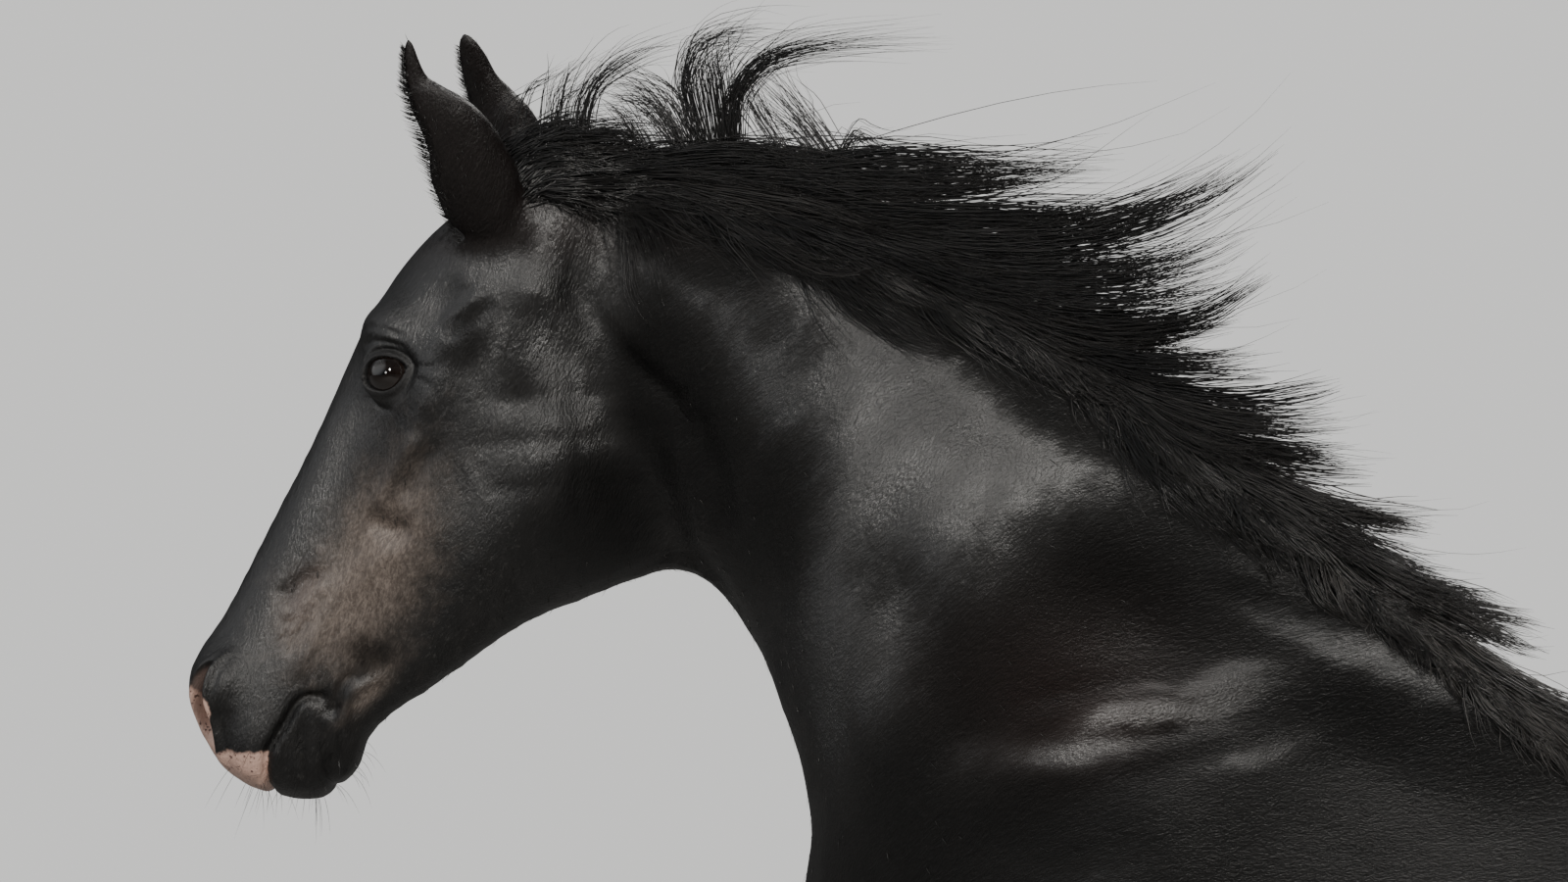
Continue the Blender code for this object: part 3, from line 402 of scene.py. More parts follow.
for zone in (head_zone, fine_zone, lid_zone):
    points = points_of(skin.data)
    split(skin.data, zone(points))
    points = points_of(skin.data)
    share = np.where(zone(points), SPLIT_EVENNESS, 0.0)[:, None]
    set_points(skin.data, smoothed(points, edges_of(skin.data), share, SPLIT_ROUNDS))
print("with the head split", triangles_of(skin.data), "triangles")

# %% [markdown]
# A horse's face is thin skin over bone: a bony ridge under the eye, veins, the soft false nostril,
# and folds round the mouth. Each is a swelling or a crease added to the smooth skin along its
# normals. A form is a bell over an oval, and a line is a bell across a curve.

# %% Forms and folds
FORM_SHARPNESS = 1.2
MIDDLE_FADE = 0.012
# Head measures of the middle, radii, and height in metres
HEAD_FORMS = (
    (0.192, -0.046, 0.076, 0.028, 0.020, 0.034, 0.0065),  # brow
    (0.200, -0.060, 0.052, 0.022, 0.018, 0.028, 0.0062),  # brow's corner in the outline
    (0.150, 0.002, 0.088, 0.032, 0.020, 0.030, -0.0045),  # hollow over the eye
    (0.250, 0.030, 0.098, 0.060, 0.012, 0.040, 0.0035),  # cheek bone
    (0.357, 0.046, 0.085, 0.014, 0.020, 0.030, -0.0085),  # hollow before the cheek
    (0.105, 0.066, 0.085, 0.018, 0.018, 0.030, 0.0045),  # jaw joint
    (0.455, -0.010, 0.060, 0.034, 0.012, 0.030, -0.0050),  # false nostril
    (0.562, -0.036, 0.056, 0.036, 0.013, 0.020, 0.0060),  # nostril's wing
    (0.592, 0.012, 0.045, 0.030, 0.026, 0.030, 0.0050),  # upper lip
    (0.586, 0.066, 0.030, 0.034, 0.020, 0.030, 0.0055),  # lower lip
    (0.570, 0.098, 0.012, 0.020, 0.014, 0.026, 0.0065),  # chin
    (0.500, 0.092, 0.030, 0.030, 0.014, 0.030, -0.0040),  # groove under the chin
)
# Height, half-width, least distance from the middle plane, then distance down and depth of points
HEAD_LINES = (
    (0.0062, 0.007, 0.05, (0.262, 0.036), (0.293, 0.030), (0.324, 0.026), (0.350, 0.026)),
    (-0.0045, 0.007, 0.05, (0.352, 0.020), (0.362, 0.036), (0.357, 0.050), (0.345, 0.055)),
    (-0.0044, 0.006, 0.05, (0.262, 0.054), (0.296, 0.046), (0.330, 0.042)),
    (-0.0080, 0.0040, 0.00, (0.640, 0.046), (0.625, 0.040), (0.596, 0.030), (0.582, 0.030),
     (0.558, 0.032), (0.541, 0.033), (0.530, 0.041), (0.524, 0.056)),
    (-0.0045, 0.0080, 0.02, (0.527, 0.044), (0.530, 0.056), (0.538, 0.066)),
    (0.0045, 0.0050, 0.02, (0.478, 0.098), (0.498, 0.081), (0.511, 0.072), (0.527, 0.073), (0.545, 0.078)),
    (-0.0040, 0.0040, 0.02, (0.490, 0.070), (0.505, 0.062), (0.520, 0.063), (0.545, 0.070)),
    (-0.0022, 0.0030, 0.02, (0.552, 0.042), (0.584, 0.057), (0.603, 0.070)),
    (-0.0022, 0.0030, 0.02, (0.545, 0.055), (0.567, 0.071), (0.592, 0.083)),
    (-0.0020, 0.0028, 0.02, (0.549, 0.077), (0.568, 0.089), (0.583, 0.094)),
    (-0.0075, 0.0048, 0.03, (0.466, -0.026), (0.452, -0.020), (0.436, -0.010), (0.420, 0.006)),
    (0.0040, 0.0050, 0.03, (0.478, -0.016), (0.463, -0.006), (0.440, 0.004), (0.424, 0.012)),
    (-0.0034, 0.0028, 0.03, (0.507, 0.005), (0.487, 0.004), (0.462, 0.010)),
    (-0.0030, 0.0026, 0.03, (0.503, -0.008), (0.487, -0.004)),
    (0.0035, 0.0080, 0.03, (0.528, 0.019), (0.466, 0.021), (0.424, 0.024), (0.378, 0.032)),
    (0.0030, 0.0070, 0.03, (0.440, 0.036), (0.404, 0.042), (0.372, 0.054)),
    (-0.0042, 0.0075, 0.05, (0.180, 0.016), (0.153, 0.029), (0.128, 0.043)),
    (0.0026, 0.0050, 0.05, (0.168, 0.004), (0.146, 0.016), (0.128, 0.030)),
    (-0.0022, 0.0030, 0.05, (0.221, -0.052), (0.211, -0.046), (0.205, -0.032), (0.203, -0.018),
     (0.206, -0.004)),
    (-0.0014, 0.0026, 0.05, (0.212, -0.060), (0.200, -0.050), (0.194, -0.034), (0.193, -0.018)),
    (-0.0016, 0.0026, 0.05, (0.212, 0.004), (0.205, 0.018), (0.200, 0.032)),
    (-0.0014, 0.0026, 0.05, (0.222, 0.006), (0.220, 0.022), (0.224, 0.036)),
    (-0.0016, 0.0026, 0.05, (0.256, -0.030), (0.262, -0.014), (0.258, 0.002)),
    (-0.0045, 0.0040, 0.00, (0.610, 0.100), (0.598, 0.091), (0.584, 0.083), (0.566, 0.080)),
    (0.0022, 0.0060, 0.04, (0.100, -0.020), (0.116, -0.004), (0.126, 0.014)),
    (-0.0012, 0.0045, 0.05, (0.165, 0.090), (0.215, 0.112), (0.262, 0.135)),
    (-0.0012, 0.0045, 0.05, (0.185, 0.066), (0.232, 0.086), (0.282, 0.104)),
    (-0.0012, 0.0050, 0.05, (0.160, 0.118), (0.212, 0.142), (0.268, 0.168)),
    (-0.0010, 0.0050, 0.05, (0.178, 0.160), (0.220, 0.176), (0.270, 0.196)),
    (-0.0062, 0.0100, 0.04, (0.060, 0.080), (0.104, 0.132), (0.126, 0.178), (0.141, 0.237), (0.185, 0.290)),
    (0.0022, 0.0140, 0.04, (0.074, 0.066), (0.120, 0.112), (0.148, 0.160), (0.168, 0.220)),
    (0.0018, 0.0035, 0.05, (0.260, 0.060), (0.276, 0.090), (0.300, 0.118), (0.338, 0.130), (0.372, 0.112)),
    (0.0016, 0.0030, 0.05, (0.378, 0.108), (0.416, 0.103), (0.450, 0.096)),
    (0.0016, 0.0030, 0.03, (0.350, 0.060), (0.372, 0.082), (0.378, 0.108)),
    (-0.0018, 0.0090, 0.05, (0.216, 0.066), (0.184, 0.124), (0.148, 0.182)),
    (-0.0020, 0.0090, 0.05, (0.256, 0.076), (0.220, 0.142), (0.180, 0.208)),
    (-0.0018, 0.0100, 0.05, (0.288, 0.102), (0.258, 0.160), (0.224, 0.220)),
)
# The same on the neck and trunk: height, half-width, then X and Z of points
BODY_LINES = (
    (-0.0060, 0.018, (-0.838, 1.880), (-0.795, 1.800), (-0.768, 1.730), (-0.755, 1.640)),  # jugular groove
    (-0.0045, 0.016, (-0.800, 1.970), (-0.775, 1.905), (-0.770, 1.850)),  # throat folds
    (0.0040, 0.014, (-0.822, 1.945), (-0.800, 1.880), (-0.790, 1.830)),
    (0.0065, 0.018, (-0.330, 1.832), (-0.263, 1.800), (-0.190, 1.762), (-0.120, 1.728),
     (-0.040, 1.700)),  # shoulder blade
    (0.0046, 0.016, (-0.520, 1.664), (-0.440, 1.690), (-0.350, 1.706), (-0.270, 1.728)),  # streaks
    (-0.0026, 0.010, (-0.500, 1.648), (-0.420, 1.668), (-0.330, 1.682), (-0.285, 1.700)),
    (0.0026, 0.010, (-0.410, 1.650), (-0.350, 1.660), (-0.290, 1.678)),
    (-0.0016, 0.012, (-0.480, 1.700), (-0.400, 1.720), (-0.340, 1.728)),
)
# Broad muscles and hollows: X, Z, radii along and across, tilt in degrees, height
BODY_FORMS = (
    (-0.574, 1.918, 0.150, 0.075, 46, 0.0120),  # the neck's long muscle
    (-0.700, 2.060, 0.070, 0.035, 30, 0.0050),
    (-0.840, 1.985, 0.140, 0.080, 60, -0.0200),  # hollow behind the jaw
    (-0.450, 2.000, 0.140, 0.032, 34, -0.0100),  # hollow under the crest
    (-0.400, 1.790, 0.095, 0.050, 30, -0.0190),  # hollow before the shoulder blade
    (-0.590, 1.806, 0.045, 0.028, 60, -0.0070),
    (-0.640, 1.730, 0.050, 0.100, -15, 0.0080),
    (-0.545, 1.690, 0.030, 0.060, -10, -0.0060),
    (-0.500, 1.560, 0.060, 0.090, 10, -0.0080),
    (-0.390, 1.640, 0.110, 0.030, -28, -0.0070),  # between the shoulder's streaks
    (-0.345, 1.560, 0.080, 0.110, -20, 0.0100),  # shoulder
    (-0.180, 1.655, 0.090, 0.040, 24, -0.0110),
    (-0.080, 1.400, 0.060, 0.120, 5, 0.0070),
    (0.020, 1.520, 0.070, 0.110, 0, -0.0060),
    (0.300, 1.300, 0.240, 0.160, 0, 0.0060),  # ribs
    (0.560, 1.300, 0.060, 0.080, 30, -0.0120),  # flank
    (0.690, 1.400, 0.050, 0.050, 20, 0.0080),  # hip
    (0.860, 1.250, 0.100, 0.140, 20, 0.0080),  # haunch
    (0.800, 1.020, 0.040, 0.120, 12, -0.0060),
)


def line_weight(flat, knots, half_width):
    """A bell across a curve through knots: 1 on it, fading at half_width and towards its ends."""
    knots = np.array(knots)
    weight = np.zeros(len(flat))
    low, high = knots.min(0) - 3 * half_width, knots.max(0) + 3 * half_width
    index = np.flatnonzero(((flat > low) & (flat < high)).all(1))
    curve = spline(np.arange(len(knots)), knots, np.linspace(0, len(knots) - 1, 5 * len(knots)))
    start, step = curve[:-1], np.diff(curve, axis=0)
    offset = flat[index][:, None] - start[None]
    share = np.clip((offset * step).sum(2) / (step**2).sum(1), 0, 1)
    gap = np.linalg.norm(offset - share[..., None] * step, axis=2)
    nearest = gap.argmin(1)
    rows = np.arange(len(index))
    u = (nearest + share[rows, nearest]) / len(step)
    ends = ramp(np.minimum(u, 1 - u), -0.02, 0.16)
    weight[index] = bell(gap[rows, nearest], 0, half_width) * ends
    return weight


def raised(points, normals):
    """Sum of the heights of all forms and lines at each point."""
    place = head_place(points)
    height = np.zeros(len(points))
    on_head = head_zone(points)
    for *middle, down, deep, wide, lift in HEAD_FORMS:
        q = (place - np.array(middle)) / np.array([down, deep, wide])
        height += on_head * lift * np.exp(-FORM_SHARPNESS * (q**2).sum(1))
    index = np.flatnonzero(on_head)
    for lift, half, least, *knots in HEAD_LINES:
        side = ramp(place[index, 2], least - MIDDLE_FADE, least) if least else 1.0
        height[index] += lift * line_weight(place[index, :2], knots, half) * side
    upper = np.flatnonzero((points[:, 0] < 0.2) & (points[:, 2] > 1.35) & (np.abs(points[:, 1]) > 0.02))
    side = ramp(np.abs(normals[upper, 1]), 0.2, 0.5)
    for lift, half, *knots in BODY_LINES:
        height[upper] += lift * line_weight(points[upper][:, [0, 2]], knots, half) * side
    side = ramp(np.abs(normals[:, 1]), 0.15, 0.5) * ramp(points[:, 2], 0.9, 1.1)
    for x, z, long, wide, tilt, lift in BODY_FORMS:
        q = tilted_oval(points[:, 0] - x, points[:, 2] - z, long, wide, tilt)
        height += lift * np.exp(-q) * side
    return height


points, normals = points_of(skin.data), normals_of(skin.data)
set_points(skin.data, points + (raised(points, normals) - COAT_DEPTH)[:, None] * normals)
print("forms and folds added")

# %% [markdown]
# Each eye sits in an almond-shaped opening between two thick lids. Inside the almond the skin drops
# behind the eyeball, and round it the skin is drawn over the ball and creased. Both are heights
# along the eye's own axis, which looks out to the side and a little forward.

# %% Lids
EYE_RADIUS = 0.0215
EYE_FORWARD = math.radians(14)
EYE_TILT = math.radians(12.5)
EYE_RISE = 0.06
OPENING_HALF = 0.0222
UPPER_LID_RISE = 0.0168
LOWER_LID_DROP = 0.0150
INNER_CORNER_DROP = 0.0038
LID_THICK = 0.0017


def eye_axes(side):
    """The eyeball's middle, then its long axis to the rear, its upright axis and its outward axis."""
    middle = from_head(EYE[0], EYE[1], side * EYE[2])
    out = unit(np.array([-math.sin(EYE_FORWARD), side * math.cos(EYE_FORWARD), EYE_RISE]))
    long_axis = np.array([math.cos(EYE_TILT), 0.0, math.sin(EYE_TILT)])
    long_axis = unit(long_axis - (long_axis @ out) * out)
    up = np.cross(long_axis, out) * -side
    up = up if up[2] > 0 else -up
    return middle, long_axis, up, out


def opening_edge(a):
    """Heights of the upper and lower lid's edge at a, along the eye's long axis.

    Each is a power of 1 - t^2, with t from -1 to 1 over the opening, leaned to one corner.
    """
    t = np.clip(a / OPENING_HALF, -1, 1)
    arch = np.maximum(1 - t * t, 0)
    corner = INNER_CORNER_DROP * (1 - t) / 2
    upper = UPPER_LID_RISE * arch**0.62 * (1 - 0.18 * t) - corner
    lower = -LOWER_LID_DROP * arch**0.80 * (1 + 0.10 * t) - corner
    return upper, lower


def ball_height(r):
    """How far the ball stands out at a distance r from its axis, eased off to a slope outside."""
    edge = 0.80 * EYE_RADIUS
    inside = np.sqrt(np.maximum(EYE_RADIUS**2 - np.minimum(r, edge) ** 2, 0))
    return inside - 0.55 * np.maximum(r - edge, 0)


def shape_lids(points):
    """Moves points along the eye's outward axis: a roll at each lid's edge, a crease and a fold round it."""
    edge_a = np.linspace(-OPENING_HALF, OPENING_HALF, 60)
    upper, lower = opening_edge(edge_a)
    outline = np.concatenate([np.stack([edge_a, upper], 1), np.stack([edge_a, lower], 1)])
    for side in (-1, 1):
        middle, long_axis, up, out = eye_axes(side)
        local = (points - middle) @ np.stack([long_axis, up, out], 1)
        index = np.flatnonzero((np.abs(local[:, :2]).max(1) < 0.05) & (local[:, 2] > 0.0))
        a, b, c = local[index].T
        gap = np.linalg.norm(local[index][:, None, :2] - outline[None], axis=2).min(1)
        top, bottom = opening_edge(a)
        inside = (np.abs(a) < OPENING_HALF) & (b < top) & (b > bottom)
        gap = np.where(inside, -gap, gap)
        support = ball_height(np.hypot(a, b))
        above = ramp(b - (top + bottom) / 2, -0.004, 0.004)
        roll = LID_THICK * bell(gap, 0.0020, 0.0030) * (0.30 + 0.60 * above)
        crease = -0.0022 * bell(gap, 0.0068, 0.0014) * above
        crease += -0.0008 * bell(gap, 0.0062, 0.0022) * (1 - above)
        fold = 0.0016 * bell(gap, 0.0105, 0.0030) * above
        drawn = support + 0.0012 + roll + crease
        weight = 1 - ramp(gap, 0.004, 0.017)
        target = c + (drawn - c) * weight + fold
        behind_ball = support - 0.0045 * ramp(-gap, 0.0, 0.0016) + 0.0008
        target = np.where(gap < 0, np.minimum(target, behind_ball), target)
        points[index] += (target - c)[:, None] * out
    return points


set_points(skin.data, shape_lids(points_of(skin.data)))
print("lids shaped")

# %% [markdown]
# The nostril is a comma-shaped opening with a rolled rear rim. The skin inside it sinks in to make a
# real hollow, and the rim is swollen outwards.

# %% Nostrils
NOSTRIL_LONG = 0.0400
NOSTRIL_WIDE = 0.0165
NOSTRIL_DEPTH = 0.026


def shape_nostrils(points):
    """Sinks the skin inside a bent oval, and swells a bell-shaped rim round it, most at the rear."""
    for side in (-1, 1):
        middle = from_head(NOSTRIL[0], NOSTRIL[1], side * NOSTRIL[2])
        down = unit(from_head(1, 0.16, 0) - from_head(0, 0, 0))
        front = unit(from_head(0, -1, 0) - from_head(0, 0, 0))
        out = unit(0.50 * front + 0.87 * side * np.array([0.0, 1.0, 0.0]))
        out = unit(out - (out @ down) * down)
        rear = np.cross(down, out)
        rear = rear if rear @ front < 0 else -rear
        local = (points - middle) @ np.stack([down, rear, out], 1)
        index = np.flatnonzero((np.abs(local) < (0.06, 0.05, 0.04)).all(1))
        a, b, c = local[index].T
        bend = b - 0.12 * (a + 0.010) ** 2 / 0.02
        wide = NOSTRIL_WIDE * (1 + 0.25 * a / NOSTRIL_LONG)
        ring = np.sqrt((a / NOSTRIL_LONG) ** 2 + (bend / wide) ** 2)
        sink = -NOSTRIL_DEPTH * ramp(1.06 - ring, 0.0, 0.46) * (1 - 0.6 * ramp(a, 0.002, 0.030))
        rim = bell(ring, 1.20, 0.20) * (0.0016 + 0.0058 * ramp(bend, -0.002, 0.010))
        points[index] += (sink + rim)[:, None] * out
    return points


set_points(skin.data, shape_nostrils(points_of(skin.data)))
print("nostrils shaped")

# %% [markdown]
# The ears are cupped leaves with real thickness, open to the front. They are made as closed shells
# and joined to the skin with a Boolean. The points round the join are then evened out, which makes
# the soft base that a real ear has.

# %% Ears
# X, Z, Y and radius of the left ear's rings
EAR_STATIONS = (
    (-0.960, 2.088, 0.050, 0.0270),
    (-0.968, 2.110, 0.056, 0.0290),
    (-0.977, 2.135, 0.061, 0.0305),
    (-0.988, 2.160, 0.067, 0.0315),
    (-1.000, 2.182, 0.072, 0.0318),
    (-1.0085, 2.202, 0.076, 0.0300),
    (-1.0190, 2.222, 0.080, 0.0252),
    (-1.0350, 2.244, 0.083, 0.0168),
    (-1.0455, 2.262, 0.083, 0.0092),
    (-1.0505, 2.282, 0.083, 0.0052),
    (-1.0535, 2.3005, 0.081, 0.0034),
)
# The right ear: height over the left one's root, set-back, rise, and how much wider
RIGHT_EAR = (
    (-0.022, 0.0, 0.0, 1.0),
    (0.0, 0.0, 0.0, 1.0),
    (0.070, 0.012, 0.001, 1.0),
    (0.110, 0.021, 0.003, 0.97),
    (0.145, 0.026, 0.006, 1.20),
    (0.165, 0.024, 0.009, 1.65),
    (0.191, 0.018, 0.011, 1.80),
)
EAR_DEPTH = 1.35
EAR_WALL = 0.0038
EAR_RINGS = 60
EAR_ROOT_SPAN = 0.12
JOIN_REACH = 0.013
JOIN_ROUNDS = 30


def ear_frame(side):
    """Spine, radius, forward and sideways directions of an ear's rings."""
    table = np.array(EAR_STATIONS)
    u = np.linspace(0, 1, EAR_RINGS)
    s = spline(np.arange(len(table)), table, u**0.9 * (len(table) - 1))
    spine = np.stack([s[:, 0], side * s[:, 2], s[:, 1]], -1)
    radius = s[:, 3]
    if side > 0:
        turned = np.array(RIGHT_EAR)
        _, back, up, wider = spline(turned[:, 0], turned, s[:, 1] - EAR_STATIONS[1][1]).T
        spine = spine + np.stack([back, 0 * back, up], -1)
        radius = radius * wider
    along = unit(np.gradient(spine, axis=0))
    front = np.array([-0.97, side * 0.24, 0.0])
    front = unit(front - (along @ front)[:, None] * along)
    near_tip = np.clip((np.arange(EAR_RINGS) / (EAR_RINGS - 1) - 0.90) / 0.10, 0, 1)
    radius = radius * np.sqrt(1 - 0.985 * near_tip**2)
    return spine, radius, front, np.cross(along, front)


def ear_opening(u):
    """Half the angle that the ear is open over, at u from its base to its tip. It is widest half-way."""
    return np.radians(24 + 80 * np.clip(u / 0.45, 0, 1) - 44 * np.clip((u - 0.6) / 0.4, 0, 1)) / 2


def ear_mesh(side):
    """A closed shell: an outer arc round the spine, and the same arc a wall's thickness further in."""
    spine, radius, front, across = ear_frame(side)
    u = np.linspace(-0.08, 1, len(spine))
    opening = ear_opening(u)
    turn = np.linspace(0, 1, 22)
    angle = opening[:, None] + (2 * math.pi - 2 * opening)[:, None] * turn
    lip = 0.05 * np.cos(turn * 2 * math.pi)

    def arc(scale):
        r = (radius * scale)[:, None, None]
        flat = np.stack([np.cos(angle) * EAR_DEPTH, np.sin(angle)], -1) * (1 + lip)[None, :, None]
        return spine[:, None] + r * (flat[..., :1] * front[:, None] + flat[..., 1:] * across[:, None])

    inner = arc(np.maximum(0.25, 1 - EAR_WALL / radius))[:, ::-1]
    rings = np.concatenate([arc(np.ones_like(u)), inner], axis=1)
    stations, around = rings.shape[:2]
    faces = tube_faces(stations, around)[:1]
    j = np.arange(around // 2 - 1)
    cap = np.stack([j, j + 1, around - 2 - j, around - 1 - j], -1)
    faces += [cap, cap[:, ::-1] + (stations - 1) * around]
    return turned_outwards(mesh_from("ear", rings.reshape(-1, 3), faces))


def unite(obj, mesh):
    """Boolean union of obj with a closed mesh. Returns which points came from the mesh."""
    set_attribute(obj.data, "added", np.zeros(len(obj.data.vertices)))
    set_attribute(mesh, "added", np.ones(len(mesh.vertices)))
    other = linked("added", mesh)
    modifier = obj.modifiers.new("join", "BOOLEAN")
    modifier.operation = "UNION"
    modifier.object = other
    modifier.solver = "MANIFOLD"
    apply_modifiers(obj)
    bpy.data.objects.remove(other)
    added = np.empty(len(obj.data.vertices))
    obj.data.attributes["added"].data.foreach_get("value", added)
    obj.data.attributes.remove(obj.data.attributes["added"])
    return added > 0.5


def soften_join(mesh, added, reach, rounds):
    """Evens out the points near the curve where two joined shapes meet."""
    points, edges = points_of(mesh), edges_of(mesh)
    crossing = edges[added[edges[:, 0]] != added[edges[:, 1]]]
    seam = points[crossing].mean(1)
    local = np.flatnonzero((np.abs(points - seam.mean(0)) < EAR_ROOT_SPAN).all(1))
    gap = np.full(len(points), 1.0)
    gap[local] = np.sqrt(((points[local][:, None] - seam[None]) ** 2).sum(2).min(1))
    share = 0.5 * bell(gap, 0, reach)
    set_points(mesh, even_out(points, edges, share[:, None], rounds))


bare_points = points_of(skin.data)
for side in (-1, 1):
    added = unite(skin, ear_mesh(side))
    soften_join(skin.data, added, JOIN_REACH, JOIN_ROUNDS)
    print("ear joined,", int(added.sum()), "points of", len(added))

# %% [markdown]
# The eyeballs are separate. A bulge over the iris catches the light as the wet cornea does, and the
# pupil of a horse is a lying oval.

# %% Eyes
LID_CLEARANCE = 0.0007
CORNEA_RISE = 0.0009
# Half-length and half-height of the pupil, as shares of the ball's radius
PUPIL_HALF = (0.30, 0.15)


def eye_mesh(side, rings=40, around=64):
    """A ball with a cornea bulge, and attributes telling where the iris and the pupil are."""
    middle, _, _, out = eye_axes(side)
    polar = np.linspace(0.02, math.pi - 0.02, rings)[:, None]
    turn = np.linspace(0, 2 * math.pi, around, endpoint=False)[None]
    a, b, c = np.sin(polar) * np.cos(turn), np.sin(polar) * np.sin(turn), np.cos(polar) + 0 * turn
    reach = np.hypot(a, b) + (c < 0)
    radius = EYE_RADIUS - LID_CLEARANCE + CORNEA_RISE * ramp(-reach, -0.66, -0.35)
    level = unit(np.array([1.0, 0.0, 0.0]) - out[0] * out)
    upright = np.cross(out, level)
    shape = radius[..., None] * (a[..., None] * level + b[..., None] * upright + c[..., None] * out)
    mesh = tube_mesh("eye", middle + shape)
    local = unit(points_of(mesh) - middle)
    reach = np.hypot(local @ level, local @ upright) + 2 * (local @ out < 0)
    pupil = np.hypot((local @ level) / PUPIL_HALF[0], (local @ upright) / PUPIL_HALF[1])
    set_attribute(mesh, "iris", reach)
    set_attribute(mesh, "pupil", pupil)
    return mesh


eyes = {side: linked(f"eyeball_{name}", eye_mesh(side)) for name, side in (("left", -1), ("right", 1))}
print("eyeballs", round(2000 * EYE_RADIUS, 1), "mm across")

# %% [markdown]
# Horn grows down from the coronet in rings, so each hoof is a cone cut off at a slope, highest at
# the toe. The finer rings below keep the solid's outline and add a rounded rim and growth waves.

# %% Hooves
# Height, set-back, half-depth and half-width
HOOF = (
    (0.000, 0.000, 0.0700, 0.0640),
    (0.002, 0.000, 0.0722, 0.0662),
    (0.012, 0.003, 0.0705, 0.0650),
    (0.038, 0.012, 0.0615, 0.0578),
    (0.060, 0.020, 0.0540, 0.0520),
    (0.067, 0.022, 0.0500, 0.0480),
    (0.070, 0.022, 0.0440, 0.0420),
)
HOOF_RINGS = 42
HEEL_SHARE = 0.80
CORONET_SLOPE = 0.22
GROWTH_WAVE = 0.00018
GROWTH_PITCH = 0.0075
RIM_HEIGHT = 0.004
TOE_TO_MIDDLE = 0.0584


def hoof_mesh(leg, around=72):
    """Rings of two half ovals, the rear one shorter, whose height falls from the toe to the heel."""
    low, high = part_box(leg + "_hoof")
    middle = np.array([low.x + TOE_TO_MIDDLE, (low.y + high.y) / 2])
    table = np.array(HOOF)
    rise = np.concatenate([[0, 0.001], np.linspace(0.002, table[-1, 0], HOOF_RINGS)])
    s = spline(table[:, 0], table, rise)
    turn = np.linspace(0, 2 * math.pi, around, endpoint=False)
    wave = np.sin(s[:, :1] * 2 * math.pi / GROWTH_PITCH + 0.6 * np.cos(turn))
    wave = GROWTH_WAVE * wave * (s[:, :1] > RIM_HEIGHT)
    depth = np.where(np.cos(turn) > 0, HEEL_SHARE, 1.0)
    x = middle[0] + s[:, 1:2] + (s[:, 2:3] + wave) * depth * np.cos(turn)
    y = middle[1] + (s[:, 3:4] + wave) * np.sin(turn)
    z = s[:, :1] * (1 - CORONET_SLOPE * np.cos(turn)) + 0 * x
    return tube_mesh("hoof", np.stack([x, y, z], -1))


hooves = {leg: linked(f"{leg}_horn", hoof_mesh(leg)) for leg in LEGS}

# %% [markdown]
# All long hair is built one way. Many strands are paths of a few stations, each path gets a flat
# three-sided tube that tapers to its tip, and all of a region's tubes are one mesh. A strand's
# patch on the OFBake map lies where its root lies on an unwrap of the skin.

# %% Hair builder
PATCH = 0.003
SEED = 7
rng = np.random.default_rng(SEED)


def hair_mesh(name, paths, width, facing, place, tint, thick=0.45):
    """Closed tapering tubes. paths (strands, stations, 3), width (strands, stations), facing the
    direction that the flat side looks, place (strands, 2) on the unwrap, tint one per strand.
    """
    count, stations = paths.shape[:2]
    along = unit(np.gradient(paths, axis=1))
    across = unit(np.cross(along, np.broadcast_to(facing, paths.shape)))
    outward = np.cross(across, along)
    corner = np.radians((90, 210, 330))
    half = width[..., None, None] / 2
    ring = np.cos(corner)[:, None] * across[:, :, None]
    ring = ring + thick * np.sin(corner)[:, None] * outward[:, :, None]
    points = paths[:, :, None] + half * ring
    i = (np.arange(count) * stations * 3)[:, None, None] + (np.arange(stations - 1) * 3)[None, :, None]
    j = np.arange(3)[None, None]
    k = (j + 1) % 3
    sides = np.stack([i + j, i + 3 + j, i + 3 + k, i + k], -1)
    root = np.arange(count) * stations * 3
    tip = root + (stations - 1) * 3
    caps = np.concatenate([np.stack([root, root + 1, root + 2], -1), np.stack([tip, tip + 2, tip + 1], -1)])
    mesh = mesh_from(name, points.reshape(-1, 3), [sides.reshape(-1, 4), caps])
    u = np.broadcast_to(np.arange(stations)[None, :, None] / (stations - 1) - 0.5, points.shape[:3])
    v = np.broadcast_to(np.arange(3)[None, None] / 2 - 0.5, points.shape[:3])
    patch = place[:, None, None] + PATCH * np.stack([u, v], -1)
    corners = np.empty(len(mesh.loops), np.int32)
    mesh.loops.foreach_get("vertex_index", corners)
    layer = mesh.uv_layers.new(name="OFBake")
    layer.uv.foreach_set("vector", patch.reshape(-1, 2)[corners].astype(np.float32).ravel())
    set_attribute(mesh, "tint", np.repeat(tint, stations * 3))
    set_attribute(mesh, "reach", np.tile(np.repeat(np.linspace(0, 1, stations), 3), count))
    mesh.polygons.foreach_set("use_smooth", np.ones(len(mesh.polygons), bool))
    return mesh


def taper(u, full, tip=0.10):
    """Width along strands: a narrow root, full soon after, and a thin tip."""
    shape = np.minimum(0.55 + 2.5 * u, 1) * (1 - (1 - tip) * u**2.2)
    return full[:, None] * shape


def clumped(paths, lock_paths, pull):
    """Draws each strand towards its lock's path, more so towards the tip."""
    u = np.linspace(0, 1, paths.shape[1])[None, :, None]
    return paths + (lock_paths - paths) * pull[:, None, None] * u**0.8


# %% [markdown]
# The mane lies on the neck, so each strand needs the skin's side at every station. A grid of the
# left side's Y over X and Z gives that at once for all of them. Past the crest it fades to a plane
# just left of the middle, where the wind holds the hair out.

# %% Side of the neck
FIELD_CELL = 0.009
FIELD_LOW = np.array([-1.35, 1.25])
FIELD_SIZE = (200, 140)
OPEN_AIR_Y = -0.012
FILL_ROUNDS = 3
BLUR_ROUNDS = 4


